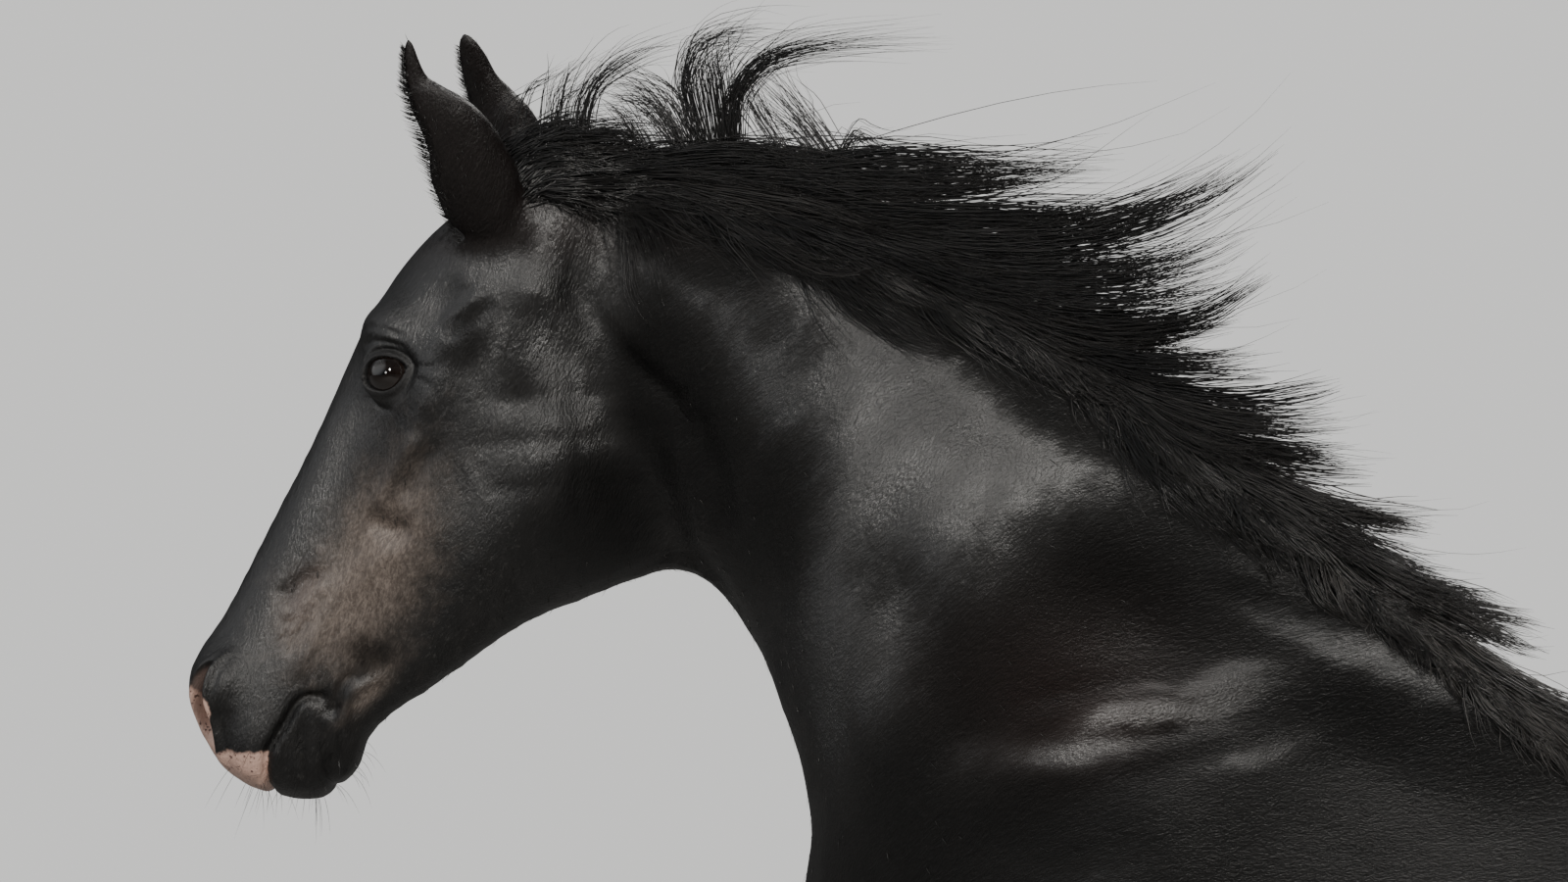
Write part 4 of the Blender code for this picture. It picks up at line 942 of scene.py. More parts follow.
def side_field(points):
    """Y of the left side in cells of X and Z, with holes filled from their neighbours."""
    grid = np.full(FIELD_SIZE, np.inf)
    cell = ((points[:, [0, 2]] - FIELD_LOW) / FIELD_CELL).astype(int)
    inside = ((cell >= 0) & (cell < FIELD_SIZE)).all(1)
    np.minimum.at(grid, tuple(cell[inside].T), points[inside, 1])
    grid = np.where(np.isfinite(grid), grid, np.nan)
    for _ in range(FILL_ROUNDS):
        around = np.stack([np.roll(grid, step, axis) for axis in (0, 1) for step in (-1, 1)])
        known = np.isfinite(around)
        mean = np.where(known, around, 0).sum(0) / np.maximum(known.sum(0), 1)
        grid = np.where(np.isnan(grid) & (known.sum(0) > 1), mean, grid)
    grid = np.where(np.isnan(grid), OPEN_AIR_Y, np.minimum(grid, OPEN_AIR_Y))
    for _ in range(BLUR_ROUNDS):
        grid = (grid + sum(np.roll(grid, step, axis) for axis in (0, 1) for step in (-1, 1))) / 5
    return grid


def side_at(grid, x, z):
    """The grid read between its cells."""
    p = (np.stack([x, z], -1) - FIELD_LOW) / FIELD_CELL - 0.5
    p = np.clip(p, 0, np.array(FIELD_SIZE) - 2.001)
    i = p.astype(int)
    t = p - i
    a, b = grid[i[..., 0], i[..., 1]], grid[i[..., 0] + 1, i[..., 1]]
    c, d = grid[i[..., 0], i[..., 1] + 1], grid[i[..., 0] + 1, i[..., 1] + 1]
    low = a + (b - a) * t[..., 0]
    return low + (c + (d - c) * t[..., 0] - low) * t[..., 1]


neck_side = side_field(bare_points)
print("neck's side at the crest", round(float(neck_side.min()), 3), "m at its widest")

# %% [markdown]
# The mane's own flow: the wind blows it back. Strands on top stream out behind the crest, and
# strands on the near side lie down along the neck first. A table gives, along the crest, the
# length and the angles at root and tip. Locks draw their strands together into points.

# %% Mane
# X and Z of the crest from poll to withers
CREST = (
    (-0.938, 2.178), (-0.884, 2.190), (-0.812, 2.184), (-0.721, 2.164), (-0.630, 2.131), (-0.540, 2.085),
    (-0.449, 2.028), (-0.358, 1.964), (-0.268, 1.896), (-0.177, 1.825), (-0.086, 1.748), (-0.014, 1.688),
    (0.050, 1.652),
)
# Share of the crest, length, angles above level at root and tip, and length on the near side
MANE_FLOW = (
    (0.00, 0.170, 30, -30, 0.120),
    (0.06, 0.230, 24, -24, 0.190),
    (0.12, 0.310, 18, -14, 0.200),
    (0.20, 0.355, 9, 12, 0.190),
    (0.28, 0.360, 1, 34, 0.150),
    (0.36, 0.315, -5, 40, 0.120),
    (0.45, 0.255, -12, 30, 0.125),
    (0.55, 0.222, -18, 14, 0.130),
    (0.65, 0.205, -24, 0, 0.105),
    (0.75, 0.190, -30, -10, 0.070),
    (0.86, 0.170, -36, -20, 0.050),
    (1.00, 0.115, -40, -28, 0.035),
)
MANE_STRANDS = 12000
MANE_PIECES = 4
MANE_LOCKS = 330
MANE_GROUPS = 64
MANE_STATIONS = 9
MANE_WIDTH = 0.0015
STRAY_SHARE = 0.06
HANGING_SHARE = 0.26
FAR_SIDE_SHARE = 0.13


def crest_at(share):
    """X and Z on the crest and its slope in degrees."""
    line = np.array(CREST)
    run = distance_along(line)
    place = spline(run, line, share * run[-1])
    ahead = spline(run, line, np.minimum(share + 0.01, 1.0) * run[-1])
    behind = spline(run, line, np.maximum(share - 0.01, 0.0) * run[-1])
    step = ahead - behind
    return place, np.degrees(np.arctan2(step[:, 1], step[:, 0]))


def mane_paths(share, layer, scale, turn):
    """X and Z paths: layer 0 streams out on top, layer 1 lies on the neck's near side."""
    flow = np.array(MANE_FLOW)
    _, length, start, end, side_length = spline(flow[:, 0], flow, share).T
    root, slope = crest_at(share)
    root = root + np.stack([-0.010 * layer, -0.004 - 0.014 * layer], -1)
    start = start + (slope - 34 - start) * layer + turn
    end = end + (slope + 2 - end) * layer + turn
    length = (length + (side_length - length) * layer) * scale
    u = np.linspace(0, 1, MANE_STATIONS)
    angle = np.radians(start[:, None] + (end - start)[:, None] * u**1.5)
    step = np.stack([np.cos(angle), np.sin(angle)], -1) * (length / (MANE_STATIONS - 1))[:, None, None]
    path = root[:, None] + np.cumsum(step, axis=1) - step[:, :1]
    return path, angle


def waved(path, angle, size, cycles, phase):
    """Moves stations across the path by a wave that grows towards the tip."""
    u = np.linspace(0, 1, path.shape[1])
    wave = size[:, None] * u**1.2 * np.sin(2 * math.pi * (cycles[:, None] * u + phase[:, None]))
    return path + wave[..., None] * np.stack([-np.sin(angle), np.cos(angle)], -1)


def grow_mane():
    """Draws each lock's place and run, then each strand's, and pulls the strands towards their lock."""
    n, k = MANE_STRANDS, MANE_LOCKS
    lock_share = (np.arange(k) + rng.random(k)) / k
    lock_layer = np.clip(rng.random(k) ** 0.9 * 1.08 - 0.04, 0, 1)
    group = (lock_share * MANE_GROUPS + 0.8 * lock_layer * (np.arange(k) % 2)).astype(int) % MANE_GROUPS
    lock_turn = rng.normal(0, 4.0, k) + rng.normal(0, 4.5, MANE_GROUPS)[group]
    lock_scale = rng.uniform(0.84, 1.08, k) * rng.uniform(0.86, 1.08, MANE_GROUPS)[group]
    lock_scale = lock_scale * np.where(lock_layer > 0.6, rng.uniform(0.65, 1.15, k), 1.0)
    lock = np.repeat(np.arange(k), -(-n // k))[:n]
    stray = rng.random(n) < STRAY_SHARE
    share = np.clip(lock_share[lock] + rng.normal(0, 0.0075, n), 0, 1)
    layer = np.clip(lock_layer[lock] + rng.normal(0, 0.07, n), -0.05, 1.1)
    scale = lock_scale[lock] * (1.06 - 0.45 * rng.random(n) ** 1.3) * (1 + 0.12 * stray)
    turn = lock_turn[lock] + rng.normal(0, 2.5, n) + stray * rng.normal(0, 9, n)
    hanging = (layer > 0.6) & (rng.random(n) < HANGING_SHARE)
    turn = turn - hanging * rng.uniform(0, 26, n)
    scale = scale * (1 - 0.25 * hanging)
    path, angle = mane_paths(share, layer, scale, turn)
    centre, centre_angle = mane_paths(lock_share, lock_layer, lock_scale, lock_turn)
    size, cycles = rng.uniform(0.003, 0.017, k), rng.uniform(0.6, 1.4, k)
    centre = waved(centre, centre_angle, size, cycles, rng.random(k))
    crowd = np.stack([centre[group == g].mean(0) for g in range(MANE_GROUPS)])[group]
    centre = clumped(centre, crowd, 0.30 * (1 - lock_layer))
    path = waved(path, angle, rng.uniform(0, 0.009, n), rng.uniform(0.8, 2.2, n), rng.random(n))
    pull = np.where(stray | hanging, 0.1, rng.uniform(0.35, 0.90, n))
    path = clumped(path, centre[lock], pull)
    u = np.linspace(0, 1, MANE_STATIONS)
    depth = rng.uniform(0.001, 0.017, k)[lock] + rng.normal(0, 0.0025, n)
    lift = np.maximum(depth, 0.0008)[:, None] * (0.25 + 0.75 * ramp(u, 0, 0.35))
    spread = rng.normal(0, 0.010, k)[lock] + rng.normal(0, 0.003, n)
    x, z = path[..., 0], path[..., 1]
    y = side_at(neck_side, x, z) - lift - np.maximum(spread, -0.02)[:, None] * (u**2) * 0.6
    free = ramp(side_at(neck_side, x, z), -0.03, OPEN_AIR_Y)
    y = y + free * u * (spread[:, None] * 1.2)
    right = (rng.random(n) < FAR_SIDE_SHARE) & (layer < 0.45)
    y = np.where(right[:, None], -y, y)
    paths = np.stack([x, y, z], -1)
    width = taper(u[None], MANE_WIDTH * rng.uniform(0.6, 1.3, n) * (1 - 0.45 * stray))
    # Towards the withers the tint grows lighter, a painted highlight on the lower mane.
    tint = rng.uniform(0.5, 1.3, k)[lock] * rng.uniform(0.6, 1.3, n) * (1 + 1.1 * ramp(share, 0.50, 0.85))
    place = np.stack([0.05 + 0.9 * share, 0.5 + 0.25 * layer + 0.2 * right], -1)
    order = np.argsort(share, kind="stable")
    facing = np.array([0.0, -1.0, 0.0])
    pieces = []
    for number, index in enumerate(np.array_split(order, MANE_PIECES), 1):
        mesh = hair_mesh(f"mane_{number}", paths[index], width[index], facing, place[index], tint[index])
        pieces.append(linked(f"mane_hair_{number}", mesh))
    return pieces


mane = grow_mane()
print("mane", sum(triangles_of(p.data) for p in mane), "triangles")

# %% [markdown]
# The forelock is blown back between the ears, and wisps behind them curl up against the wind. Each
# has its own traced path, and its strands fan out from it towards the tip.

# %% Forelock and wisps
# Fan radius, spread to the sides, strands, then X and Z of points
WISPS = (
    (0.008, 0.010, 60, (-0.908, 2.180), (-0.905, 2.233), (-0.895, 2.261), (-0.871, 2.281), (-0.841, 2.294),
     (-0.803, 2.299)),
    (0.012, 0.014, 46, (-0.934, 2.180), (-0.927, 2.246), (-0.914, 2.264), (-0.895, 2.273)),
    (0.006, 0.010, 8, (-0.968, 2.190), (-0.955, 2.254), (-0.935, 2.270), (-0.910, 2.281)),
    (0.006, 0.010, 8, (-0.990, 2.190), (-0.975, 2.240), (-0.940, 2.262), (-0.890, 2.290)),
    (0.013, 0.012, 60, (-0.795, 2.180), (-0.823, 2.239), (-0.846, 2.254), (-0.867, 2.257), (-0.882, 2.254)),
    (0.012, 0.012, 50, (-0.800, 2.180), (-0.833, 2.229), (-0.858, 2.244), (-0.879, 2.246)),
    (0.010, 0.012, 44, (-0.835, 2.180), (-0.869, 2.232), (-0.892, 2.236)),
    (0.009, 0.014, 60, (-0.785, 2.180), (-0.806, 2.248), (-0.807, 2.271), (-0.798, 2.294), (-0.778, 2.306),
     (-0.752, 2.310), (-0.727, 2.309), (-0.688, 2.302)),
    (0.013, 0.014, 50, (-0.776, 2.180), (-0.790, 2.254), (-0.792, 2.276), (-0.779, 2.281), (-0.772, 2.268)),
    (0.012, 0.014, 50, (-0.766, 2.180), (-0.775, 2.254), (-0.778, 2.273), (-0.769, 2.291), (-0.752, 2.304),
     (-0.731, 2.311)),
    (0.010, 0.014, 110, (-0.765, 2.180), (-0.765, 2.239), (-0.754, 2.264), (-0.737, 2.281), (-0.711, 2.291),
     (-0.675, 2.297), (-0.624, 2.301), (-0.564, 2.302)),
    (0.013, 0.012, 70, (-0.660, 2.170), (-0.696, 2.221), (-0.714, 2.239), (-0.737, 2.266), (-0.749, 2.277)),
    (0.011, 0.012, 44, (-0.705, 2.175), (-0.740, 2.229), (-0.752, 2.251), (-0.763, 2.266)),
    (0.007, 0.010, 26, (-0.674, 2.180), (-0.655, 2.214), (-0.640, 2.208), (-0.624, 2.201), (-0.602, 2.199)),
    (0.012, 0.016, 200, (-1.000, 2.150), (-0.975, 2.188), (-0.940, 2.206), (-0.895, 2.208), (-0.840, 2.198)),
    (0.012, 0.014, 200, (-0.975, 2.160), (-0.945, 2.196), (-0.900, 2.204), (-0.850, 2.200), (-0.780, 2.190)),
    (0.013, 0.006, 180, (-0.962, 2.160), (-0.930, 2.188), (-0.890, 2.186), (-0.850, 2.172), (-0.800, 2.155)),
    (0.012, 0.004, 160, (-0.950, 2.172), (-0.915, 2.182), (-0.880, 2.168), (-0.855, 2.135), (-0.845, 2.100)),
    (0.010, 0.004, 120, (-0.925, 2.180), (-0.885, 2.180), (-0.852, 2.150), (-0.828, 2.105), (-0.815, 2.060)),
    (0.010, 0.012, 90, (-0.985, 2.160), (-0.950, 2.206), (-0.915, 2.222), (-0.880, 2.218), (-0.845, 2.222)),
    (0.005, 0.003, 26, (-0.880, 2.175), (-0.862, 2.150), (-0.856, 2.105), (-0.848, 2.070), (-0.815, 2.030)),
)
WISP_STATIONS = 11
WISP_WIDTH = 0.0008
DENSE_WISP = 150


def grow_wisps():
    """Strands run along their wisp's curve, off it by a random share of its fan, and curl round it."""
    u = np.linspace(0, 1, WISP_STATIONS)
    all_paths, all_widths = [], []
    for radius, spread, count, *knots in WISPS:
        knots = np.array(knots)
        end = rng.uniform(0.60, 1.0, count)
        at = (u[None] * end[:, None]) * (len(knots) - 1)
        flat = spline(np.arange(len(knots)), knots, at.ravel()).reshape(count, WISP_STATIONS, 2)
        fan = rng.normal(0, 0.62, (count, 1, 2)) * radius * (1.0 - 0.3 * u + 1.1 * u**2)[None, :, None]
        turn = 2 * math.pi * (rng.uniform(0.6, 1.8, (count, 1)) * u + rng.random((count, 1)))
        curl = np.stack([np.cos(turn), np.sin(turn)], -1)
        fan += rng.uniform(0, 0.60, (count, 1, 1)) * radius * curl * u[:, None]
        flat = flat + fan
        y = side_at(neck_side, flat[..., 0], flat[..., 1]) - 0.003 - np.abs(rng.normal(0, 0.004, (count, 1)))
        y = y + rng.normal(0, 0.5, (count, 1)) * spread * (0.4 + 1.2 * u)
        all_paths.append(np.stack([flat[..., 0], y, flat[..., 1]], -1))
        full = WISP_WIDTH * rng.uniform(0.6, 1.3, count) * (1 + 1.2 * (count > DENSE_WISP))
        all_widths.append(taper(u[None], full))
    paths, width = np.concatenate(all_paths), np.concatenate(all_widths)
    place = np.stack([0.02 + 0.2 * rng.random(len(paths)), 0.3 + 0.1 * rng.random(len(paths))], -1)
    mesh = hair_mesh("wisps", paths, width, (0.0, -1.0, 0.0), place, rng.uniform(0.5, 1.2, len(paths)))
    return linked("mane_wisps", mesh)


wisps = grow_wisps()
print("wisps", triangles_of(wisps.data), "triangles")

# %% [markdown]
# The front edges of the ears carry a dense fringe of short hair, which leans over their openings.

# %% Ear fringe
FRINGE = 1000
FRINGE_WIDTH = 0.0007


def grow_fringe():
    """Hairs that start on both edges of an ear's opening and lean over it, longest half-way up."""
    paths, u = [], np.linspace(0, 1, 4)[None, :, None]
    for side in (-1, 1):
        spine, radius, front, across = ear_frame(side)
        at = rng.integers(6, 57, FRINGE)
        edge = rng.choice((-1.0, 1.0), FRINGE)[:, None]
        height = at / (EAR_RINGS - 1)
        opening = (ear_opening(height) * rng.uniform(0.75, 1.3, FRINGE))[:, None]
        to_edge = EAR_DEPTH * np.cos(opening) * front[at] + edge * np.sin(opening) * across[at]
        root = spine[at] + 0.97 * radius[at, None] * to_edge
        rise = unit(np.gradient(spine, axis=0))[at]
        root = root + 0.0022 * rng.uniform(-1, 1, (FRINGE, 1)) * rise
        way = unit(0.9 * front[at] + edge * rng.uniform(-0.6, 0.5, (FRINGE, 1)) * across[at] + 0.75 * rise)
        size = rng.uniform(0.004, 0.013, FRINGE)[:, None, None] * np.sin(0.3 + 2.5 * height)[:, None, None]
        paths.append(root[:, None] + size * (u * way[:, None] + 0.35 * u**2 * rise[:, None]))
    paths = np.concatenate(paths)
    width = taper(u[..., 0], FRINGE_WIDTH * rng.uniform(0.5, 1.4, len(paths)))
    place = np.stack([0.9 + 0.05 * rng.random(len(paths)), 0.9 + 0.05 * rng.random(len(paths))], -1)
    tint = rng.uniform(0.4, 1.1, len(paths))
    return linked("ear_fringe", hair_mesh("fringe", paths, width, (0.3, -0.9, 0.2), place, tint, thick=0.7))


fringe = grow_fringe()
print("ear fringe", triangles_of(fringe.data), "triangles")

# %% [markdown]
# The tail hangs to the fetlocks. Its hairs start along the dock, spread over its width and fall in
# long wavy locks, some ending higher than others.

# %% Tail
# X, Z, half-depth and half-width
TAIL_STATIONS = (
    (0.990, 1.505, 0.040, 0.042),
    (1.060, 1.500, 0.044, 0.052),
    (1.112, 1.420, 0.056, 0.072),
    (1.136, 1.270, 0.074, 0.092),
    (1.146, 1.080, 0.090, 0.108),
    (1.156, 0.880, 0.098, 0.116),
    (1.172, 0.680, 0.096, 0.112),
    (1.192, 0.490, 0.086, 0.098),
    (1.210, 0.320, 0.068, 0.077),
    (1.222, 0.170, 0.040, 0.047),
)
TAIL_STRANDS = 4400
TAIL_PIECES = 2
TAIL_LOCKS = 130
TAIL_STRAND_STATIONS = 11
TAIL_WIDTH = 0.0022
TAIL_REAR_LIMIT = 1.2765
DOCK_SHARE = 0.3
GOLDEN_SHARE = 0.618034


def tail_paths(root, end, turn, reach):
    """Paths down the tail: turn goes round it, reach is 0 at its middle and 1 at its surface."""
    table = np.array(TAIL_STATIONS)
    run = distance_along(table[:, :2])
    u = np.linspace(0, 1, TAIL_STRAND_STATIONS)
    at = (root[:, None] + (end - root)[:, None] * u) * run[-1]
    s = spline(run, table, at.ravel()).reshape(len(root), len(u), 4)
    ahead = spline(run, table, at.ravel() + 0.01).reshape(len(root), len(u), 4)
    along = unit(ahead[..., :2] - s[..., :2])
    rise = (0.45 + 0.55 * ramp(u, 0.0, 0.25))[None] * reach[:, None]
    deep = rise * s[..., 2] * np.cos(turn)[:, None]
    x = s[..., 0] - along[..., 1] * deep
    z = s[..., 1] + along[..., 0] * deep
    return np.stack([x, rise * s[..., 3] * np.sin(turn)[:, None], z], -1), u


def grow_tail():
    """Locks spread round the tail by the golden angle, with their strands drawn towards them."""
    n, k = TAIL_STRANDS, TAIL_LOCKS
    lock = np.repeat(np.arange(k), -(-n // k))[:n]
    lock_turn = 2 * math.pi * (np.arange(k) * GOLDEN_SHARE % 1)
    lock_reach = np.sqrt(rng.uniform(0.25, 1.0, k))
    lock_root = rng.uniform(0.0, 0.20, k)
    lock_end = rng.uniform(0.72, 1.0, k)
    centre, u = tail_paths(lock_root, lock_end, lock_turn, lock_reach)
    wave = rng.uniform(0.002, 0.011, (k, 1)) * ramp(u, 0.05, 0.5)
    phase = 2 * math.pi * (rng.uniform(1.2, 2.6, (k, 1)) * u + rng.random((k, 1)))
    centre[..., 1] += wave * np.sin(phase)
    centre[..., 0] += 0.5 * wave * np.cos(phase)
    stray = rng.random(n) < 0.05
    root = np.clip(lock_root[lock] + rng.normal(0, 0.02, n), 0, DOCK_SHARE)
    end = np.minimum(lock_end[lock] + rng.normal(0, 0.05, n), 1.0)
    turn = lock_turn[lock] + rng.normal(0, 0.16, n)
    paths, u = tail_paths(root, end, turn, np.clip(lock_reach[lock] + rng.normal(0, 0.05, n), 0, 1.03))
    paths = clumped(paths, centre[lock], np.where(stray, 0.1, rng.uniform(0.4, 0.9, n)))
    paths[..., 1] += rng.normal(0, 0.003, (n, 1)) * np.sin(2 * math.pi * (2 * u + rng.random((n, 1))))
    paths[..., 0] = np.minimum(paths[..., 0], TAIL_REAR_LIMIT)
    width = taper(u[None], TAIL_WIDTH * rng.uniform(0.6, 1.25, n))
    tint = rng.uniform(0.5, 1.3, k)[lock] * rng.uniform(0.7, 1.3, n)
    place = np.stack([0.1 + 0.8 * (turn / (2 * math.pi) % 1), 0.1 + 0.6 * root / DOCK_SHARE], -1)
    middle = np.array([1.15, 0.0])
    facing = unit(np.concatenate([paths[..., :2] - middle, np.full(paths.shape[:2] + (1,), 0.01)], -1))
    pieces = []
    order = np.argsort(turn % (2 * math.pi))
    for number, index in enumerate(np.array_split(order, TAIL_PIECES), 1):
        strands = (values[index] for values in (paths, width, facing, place, tint))
        pieces.append(linked(f"tail_hair_{number}", hair_mesh(f"tail_{number}", *strands)))
    return pieces


tail = grow_tail()
print("tail", sum(triangles_of(p.data) for p in tail), "triangles")

# %% [markdown]
# The breed's feather is long hair that starts on the back and sides of the cannon, grows longer
# down the leg, and falls over the hoof's sides and heel.

# %% Feathers
FEATHER_STRANDS = 1700
FEATHER_LOCKS = 90
FEATHER_STATIONS = 7
FEATHER_WIDTH = 0.0020
FEATHER_TOP = 0.30
FEATHER_LOW = 0.095
CORONET_HEIGHT = 0.045
FLOOR_CLEARANCE = 0.008


def leg_line(leg, z):
    """Middle and half-sizes of the pastern at heights z."""
    s = np.array(PASTERN)
    s = spline(-s[:, 0], s, -np.clip(z, s[-1, 0], s[0, 0]))
    foot, cannon = foot_middle(leg), cannon_middle(leg)
    middle = foot + (cannon - foot) * s[..., 1:2]
    return middle[:, 0] + s[:, 2], middle[:, 1], s[:, 3], s[:, 4]


def feather_paths(leg, turn, top, length, flare):
    """Falling curves from the leg: turn 0 is at the rear, flare is how far the tip stands off."""
    u = np.linspace(0, 1, FEATHER_STATIONS)
    z = top[:, None] - length[:, None] * u
    on_leg = leg_line(leg, np.maximum(z, CORONET_HEIGHT).ravel())
    middle_x, middle_y, deep, wide = (a.reshape(z.shape) for a in on_leg)
    out = flare[:, None] * u**1.3 + COAT_DEPTH
    x = middle_x + (deep + out) * np.cos(turn)[:, None]
    y = middle_y + (wide + out) * np.sin(turn)[:, None]
    drop = np.maximum(CORONET_HEIGHT - z, 0)
    x = x + drop * 0.25 * np.cos(turn)[:, None]
    z = np.maximum(z, FLOOR_CLEARANCE + 0.01 * u)
    return np.stack([x, y, z], -1)


def grow_feather(leg):
    """Locks crowd towards the rear, where they start higher, and their strands are drawn to them."""
    n, k = FEATHER_STRANDS, FEATHER_LOCKS
    lock = np.repeat(np.arange(k), -(-n // k))[:n]
    lock_turn = rng.triangular(-math.pi, 0, math.pi, k)
    behind = (1 + np.cos(lock_turn)) / 2
    lock_top = FEATHER_LOW + (FEATHER_TOP - FEATHER_LOW) * rng.random(k) * (0.25 + 0.75 * behind)
    lock_length = np.minimum(rng.uniform(0.07, 0.15, k), lock_top - 0.02 - 0.02 * rng.random(k))
    lock_flare = rng.uniform(0.012, 0.030, k) * (0.5 + 0.7 * behind)
    centre = feather_paths(leg, lock_turn, lock_top, lock_length, lock_flare)
    turn = lock_turn[lock] + rng.normal(0, 0.16, n)
    top = np.clip(lock_top[lock] + rng.normal(0, 0.012, n), 0.085, FEATHER_TOP + 0.02)
    length = np.minimum(lock_length[lock] * rng.uniform(0.8, 1.15, n), top - 0.012)
    flare = lock_flare[lock] * rng.uniform(0.6, 1.25, n)
    paths = clumped(feather_paths(leg, turn, top, length, flare), centre[lock], rng.uniform(0.2, 0.75, n))
    u = np.linspace(0, 1, FEATHER_STATIONS)
    paths[..., 1] += rng.normal(0, 0.003, (n, 1)) * np.sin(2 * math.pi * (1.4 * u + rng.random((n, 1)))) * u
    outward = np.stack([np.cos(turn), np.sin(turn), 0.2 + 0 * turn], -1)[:, None]
    width = taper(u[None], FEATHER_WIDTH * rng.uniform(0.6, 1.3, n))
    tint = rng.uniform(0.6, 1.3, k)[lock] * rng.uniform(0.7, 1.3, n)
    place = np.stack([0.5 + turn / 7.5, 0.1 + 2.4 * top], -1)
    mesh = hair_mesh(leg + "_feather", paths, width, outward, place, tint)
    return linked(leg + "_feather_hair", mesh)


feathers = {leg: grow_feather(leg) for leg in LEGS}
print("feathers", sum(triangles_of(p.data) for p in feathers.values()), "triangles")

# %% [markdown]
# A horse's summer coat is short and flat, so most of it is bump. Small tufts stand where it breaks
# the outline: along the jaw, throat, elbows, belly and the backs of the legs, and thinly elsewhere.

# %% Short tufts
TUFTS = 12000
TUFT_LENGTH = 0.011
TUFT_WIDTH = 0.0011
ROOT_DEPTH = 0.0006
BODY_LIE = np.array([0.92, 0.0, -0.38])
NECK_LIE = np.array([0.62, 0.0, -0.78])
DOWN_LIE = np.array([0.10, 0.0, -1.0])


def lie_of_coat(points):
    """The way the hair runs: down the head, back and down the body, straight down the legs."""
    on_head = ramp(-points[:, 0], 0.80, 0.92) * ramp(points[:, 2], 1.45, 1.6)
    on_leg = 1 - ramp(points[:, 2], 0.85, 1.10)
    on_neck = ramp(-points[:, 0], 0.35, 0.60)
    lie = BODY_LIE + on_neck[:, None] * (NECK_LIE - BODY_LIE)
    for share in (on_leg, on_head):
        lie = lie + share[:, None] * (DOWN_LIE - lie)
    return unit(lie)


def unwrap_place(points):
    """Where a point lies on a cylinder map of the body, the head or the nearest leg."""
    turn = np.arctan2(points[:, 1], points[:, 2] - 1.25) / (2 * math.pi) + 0.5
    u = (points[:, 0] + 1.3) / 2.7
    low = points[:, 2] < 0.9
    around = np.arctan2(points[:, 1] % 0.155, points[:, 0] % 0.3) / 7 + 0.25
    u = np.where(low, around + 0.25 * (points[:, 1] > 0), u)
    return np.stack([u, np.where(low, points[:, 2], turn)], -1)


def grow_tufts():
    """Roots drawn on the skin's triangles by area and by how much each place wants, lying as the coat."""
    mesh = skin.data
    mesh.calc_loop_triangles()
    corners = np.empty(len(mesh.loop_triangles) * 3, np.int32)
    mesh.loop_triangles.foreach_get("vertices", corners)
    corners = corners.reshape(-1, 3)
    points, normals = points_of(mesh), normals_of(mesh)
    middle = points[corners].mean(1)
    first, second, third = (points[corners[:, k]] for k in range(3))
    cross = np.cross(second - first, third - first)
    area = np.linalg.norm(cross, axis=1) / 2
    face_normal = unit(cross)
    place = head_place(middle)
    on_head = head_zone(middle)
    under = ramp(-face_normal[:, 2], 0.0, 0.8)
    edge = 1 - ramp(np.abs(face_normal[:, 1]), 0.05, 0.5)
    wanted = 0.12 + 0.9 * under + 0.5 * edge
    wanted = np.where(on_head, 0.9 * ramp(under, 0.4, 1.0) * (place[:, 0] < 0.52), wanted)
    legs = middle[:, 2] < 0.75
    wanted = np.where(legs, 0.35 + 0.8 * ramp(face_normal[:, 0], 0.3, 0.9), wanted)
    ears = (middle[:, 2] > 2.10) & (np.abs(middle[:, 1]) > 0.035) & (middle[:, 0] < -0.92)
    wanted = np.where(ears, 1.3, wanted)
    near_eye = np.linalg.norm(place - np.array(EYE), axis=1) < 0.035
    wanted = np.where(near_eye | (middle[:, 2] < 0.10), 0.0, wanted)
    chance = wanted * area
    pick = rng.choice(len(chance), TUFTS, p=chance / chance.sum())
    share = rng.dirichlet((1, 1, 1), TUFTS)[:, :, None]
    root = (points[corners[pick]] * share).sum(1)
    normal = unit((normals[corners[pick]] * share).sum(1))
    lie = lie_of_coat(root) + rng.normal(0, 0.10, (TUFTS, 3))
    lie = np.where(ears[pick][:, None], np.array([-0.25, 0.0, 1.0]), lie)
    lie = unit(lie - (lie * normal).sum(1, keepdims=True) * normal)
    size = TUFT_LENGTH * rng.uniform(0.6, 1.5, TUFTS)
    shorter = np.where(on_head[pick], 0.75, 1.0) * np.where(legs[pick], 0.8, 1.0)
    size *= shorter * np.where(ears[pick], 0.9, 1.0)
    stand = rng.uniform(0.08, 0.22, TUFTS) * (1 + 0.8 * under[pick])
    u = np.array([0.0, 0.45, 1.0])[None, :, None]
    way = u * lie[:, None] + u**1.5 * stand[:, None, None] * normal[:, None]
    paths = root[:, None] + size[:, None, None] * way
    paths = paths - ROOT_DEPTH * normal[:, None] * (1 - u)
    width = taper(u[..., 0], TUFT_WIDTH * rng.uniform(0.6, 1.2, TUFTS))
    tint = rng.uniform(0.8, 1.8, TUFTS)
    made = hair_mesh("tufts", paths, width, normal[:, None], unwrap_place(root), tint, thick=0.35)
    return linked("coat_tufts", made)


tufts = grow_tufts()
print("tufts", triangles_of(tufts.data), "triangles")

# %% [markdown]
# Long feelers grow singly on the chin and the lips, and lashes on the upper lids. They are thin
# strands, made as the long hair is, but nearly round.

# %% Feelers and lashes
FEELERS = 90
FEELER_WIDTH = 0.0005
LASHES = 34
LASH_WIDTH = 0.0007


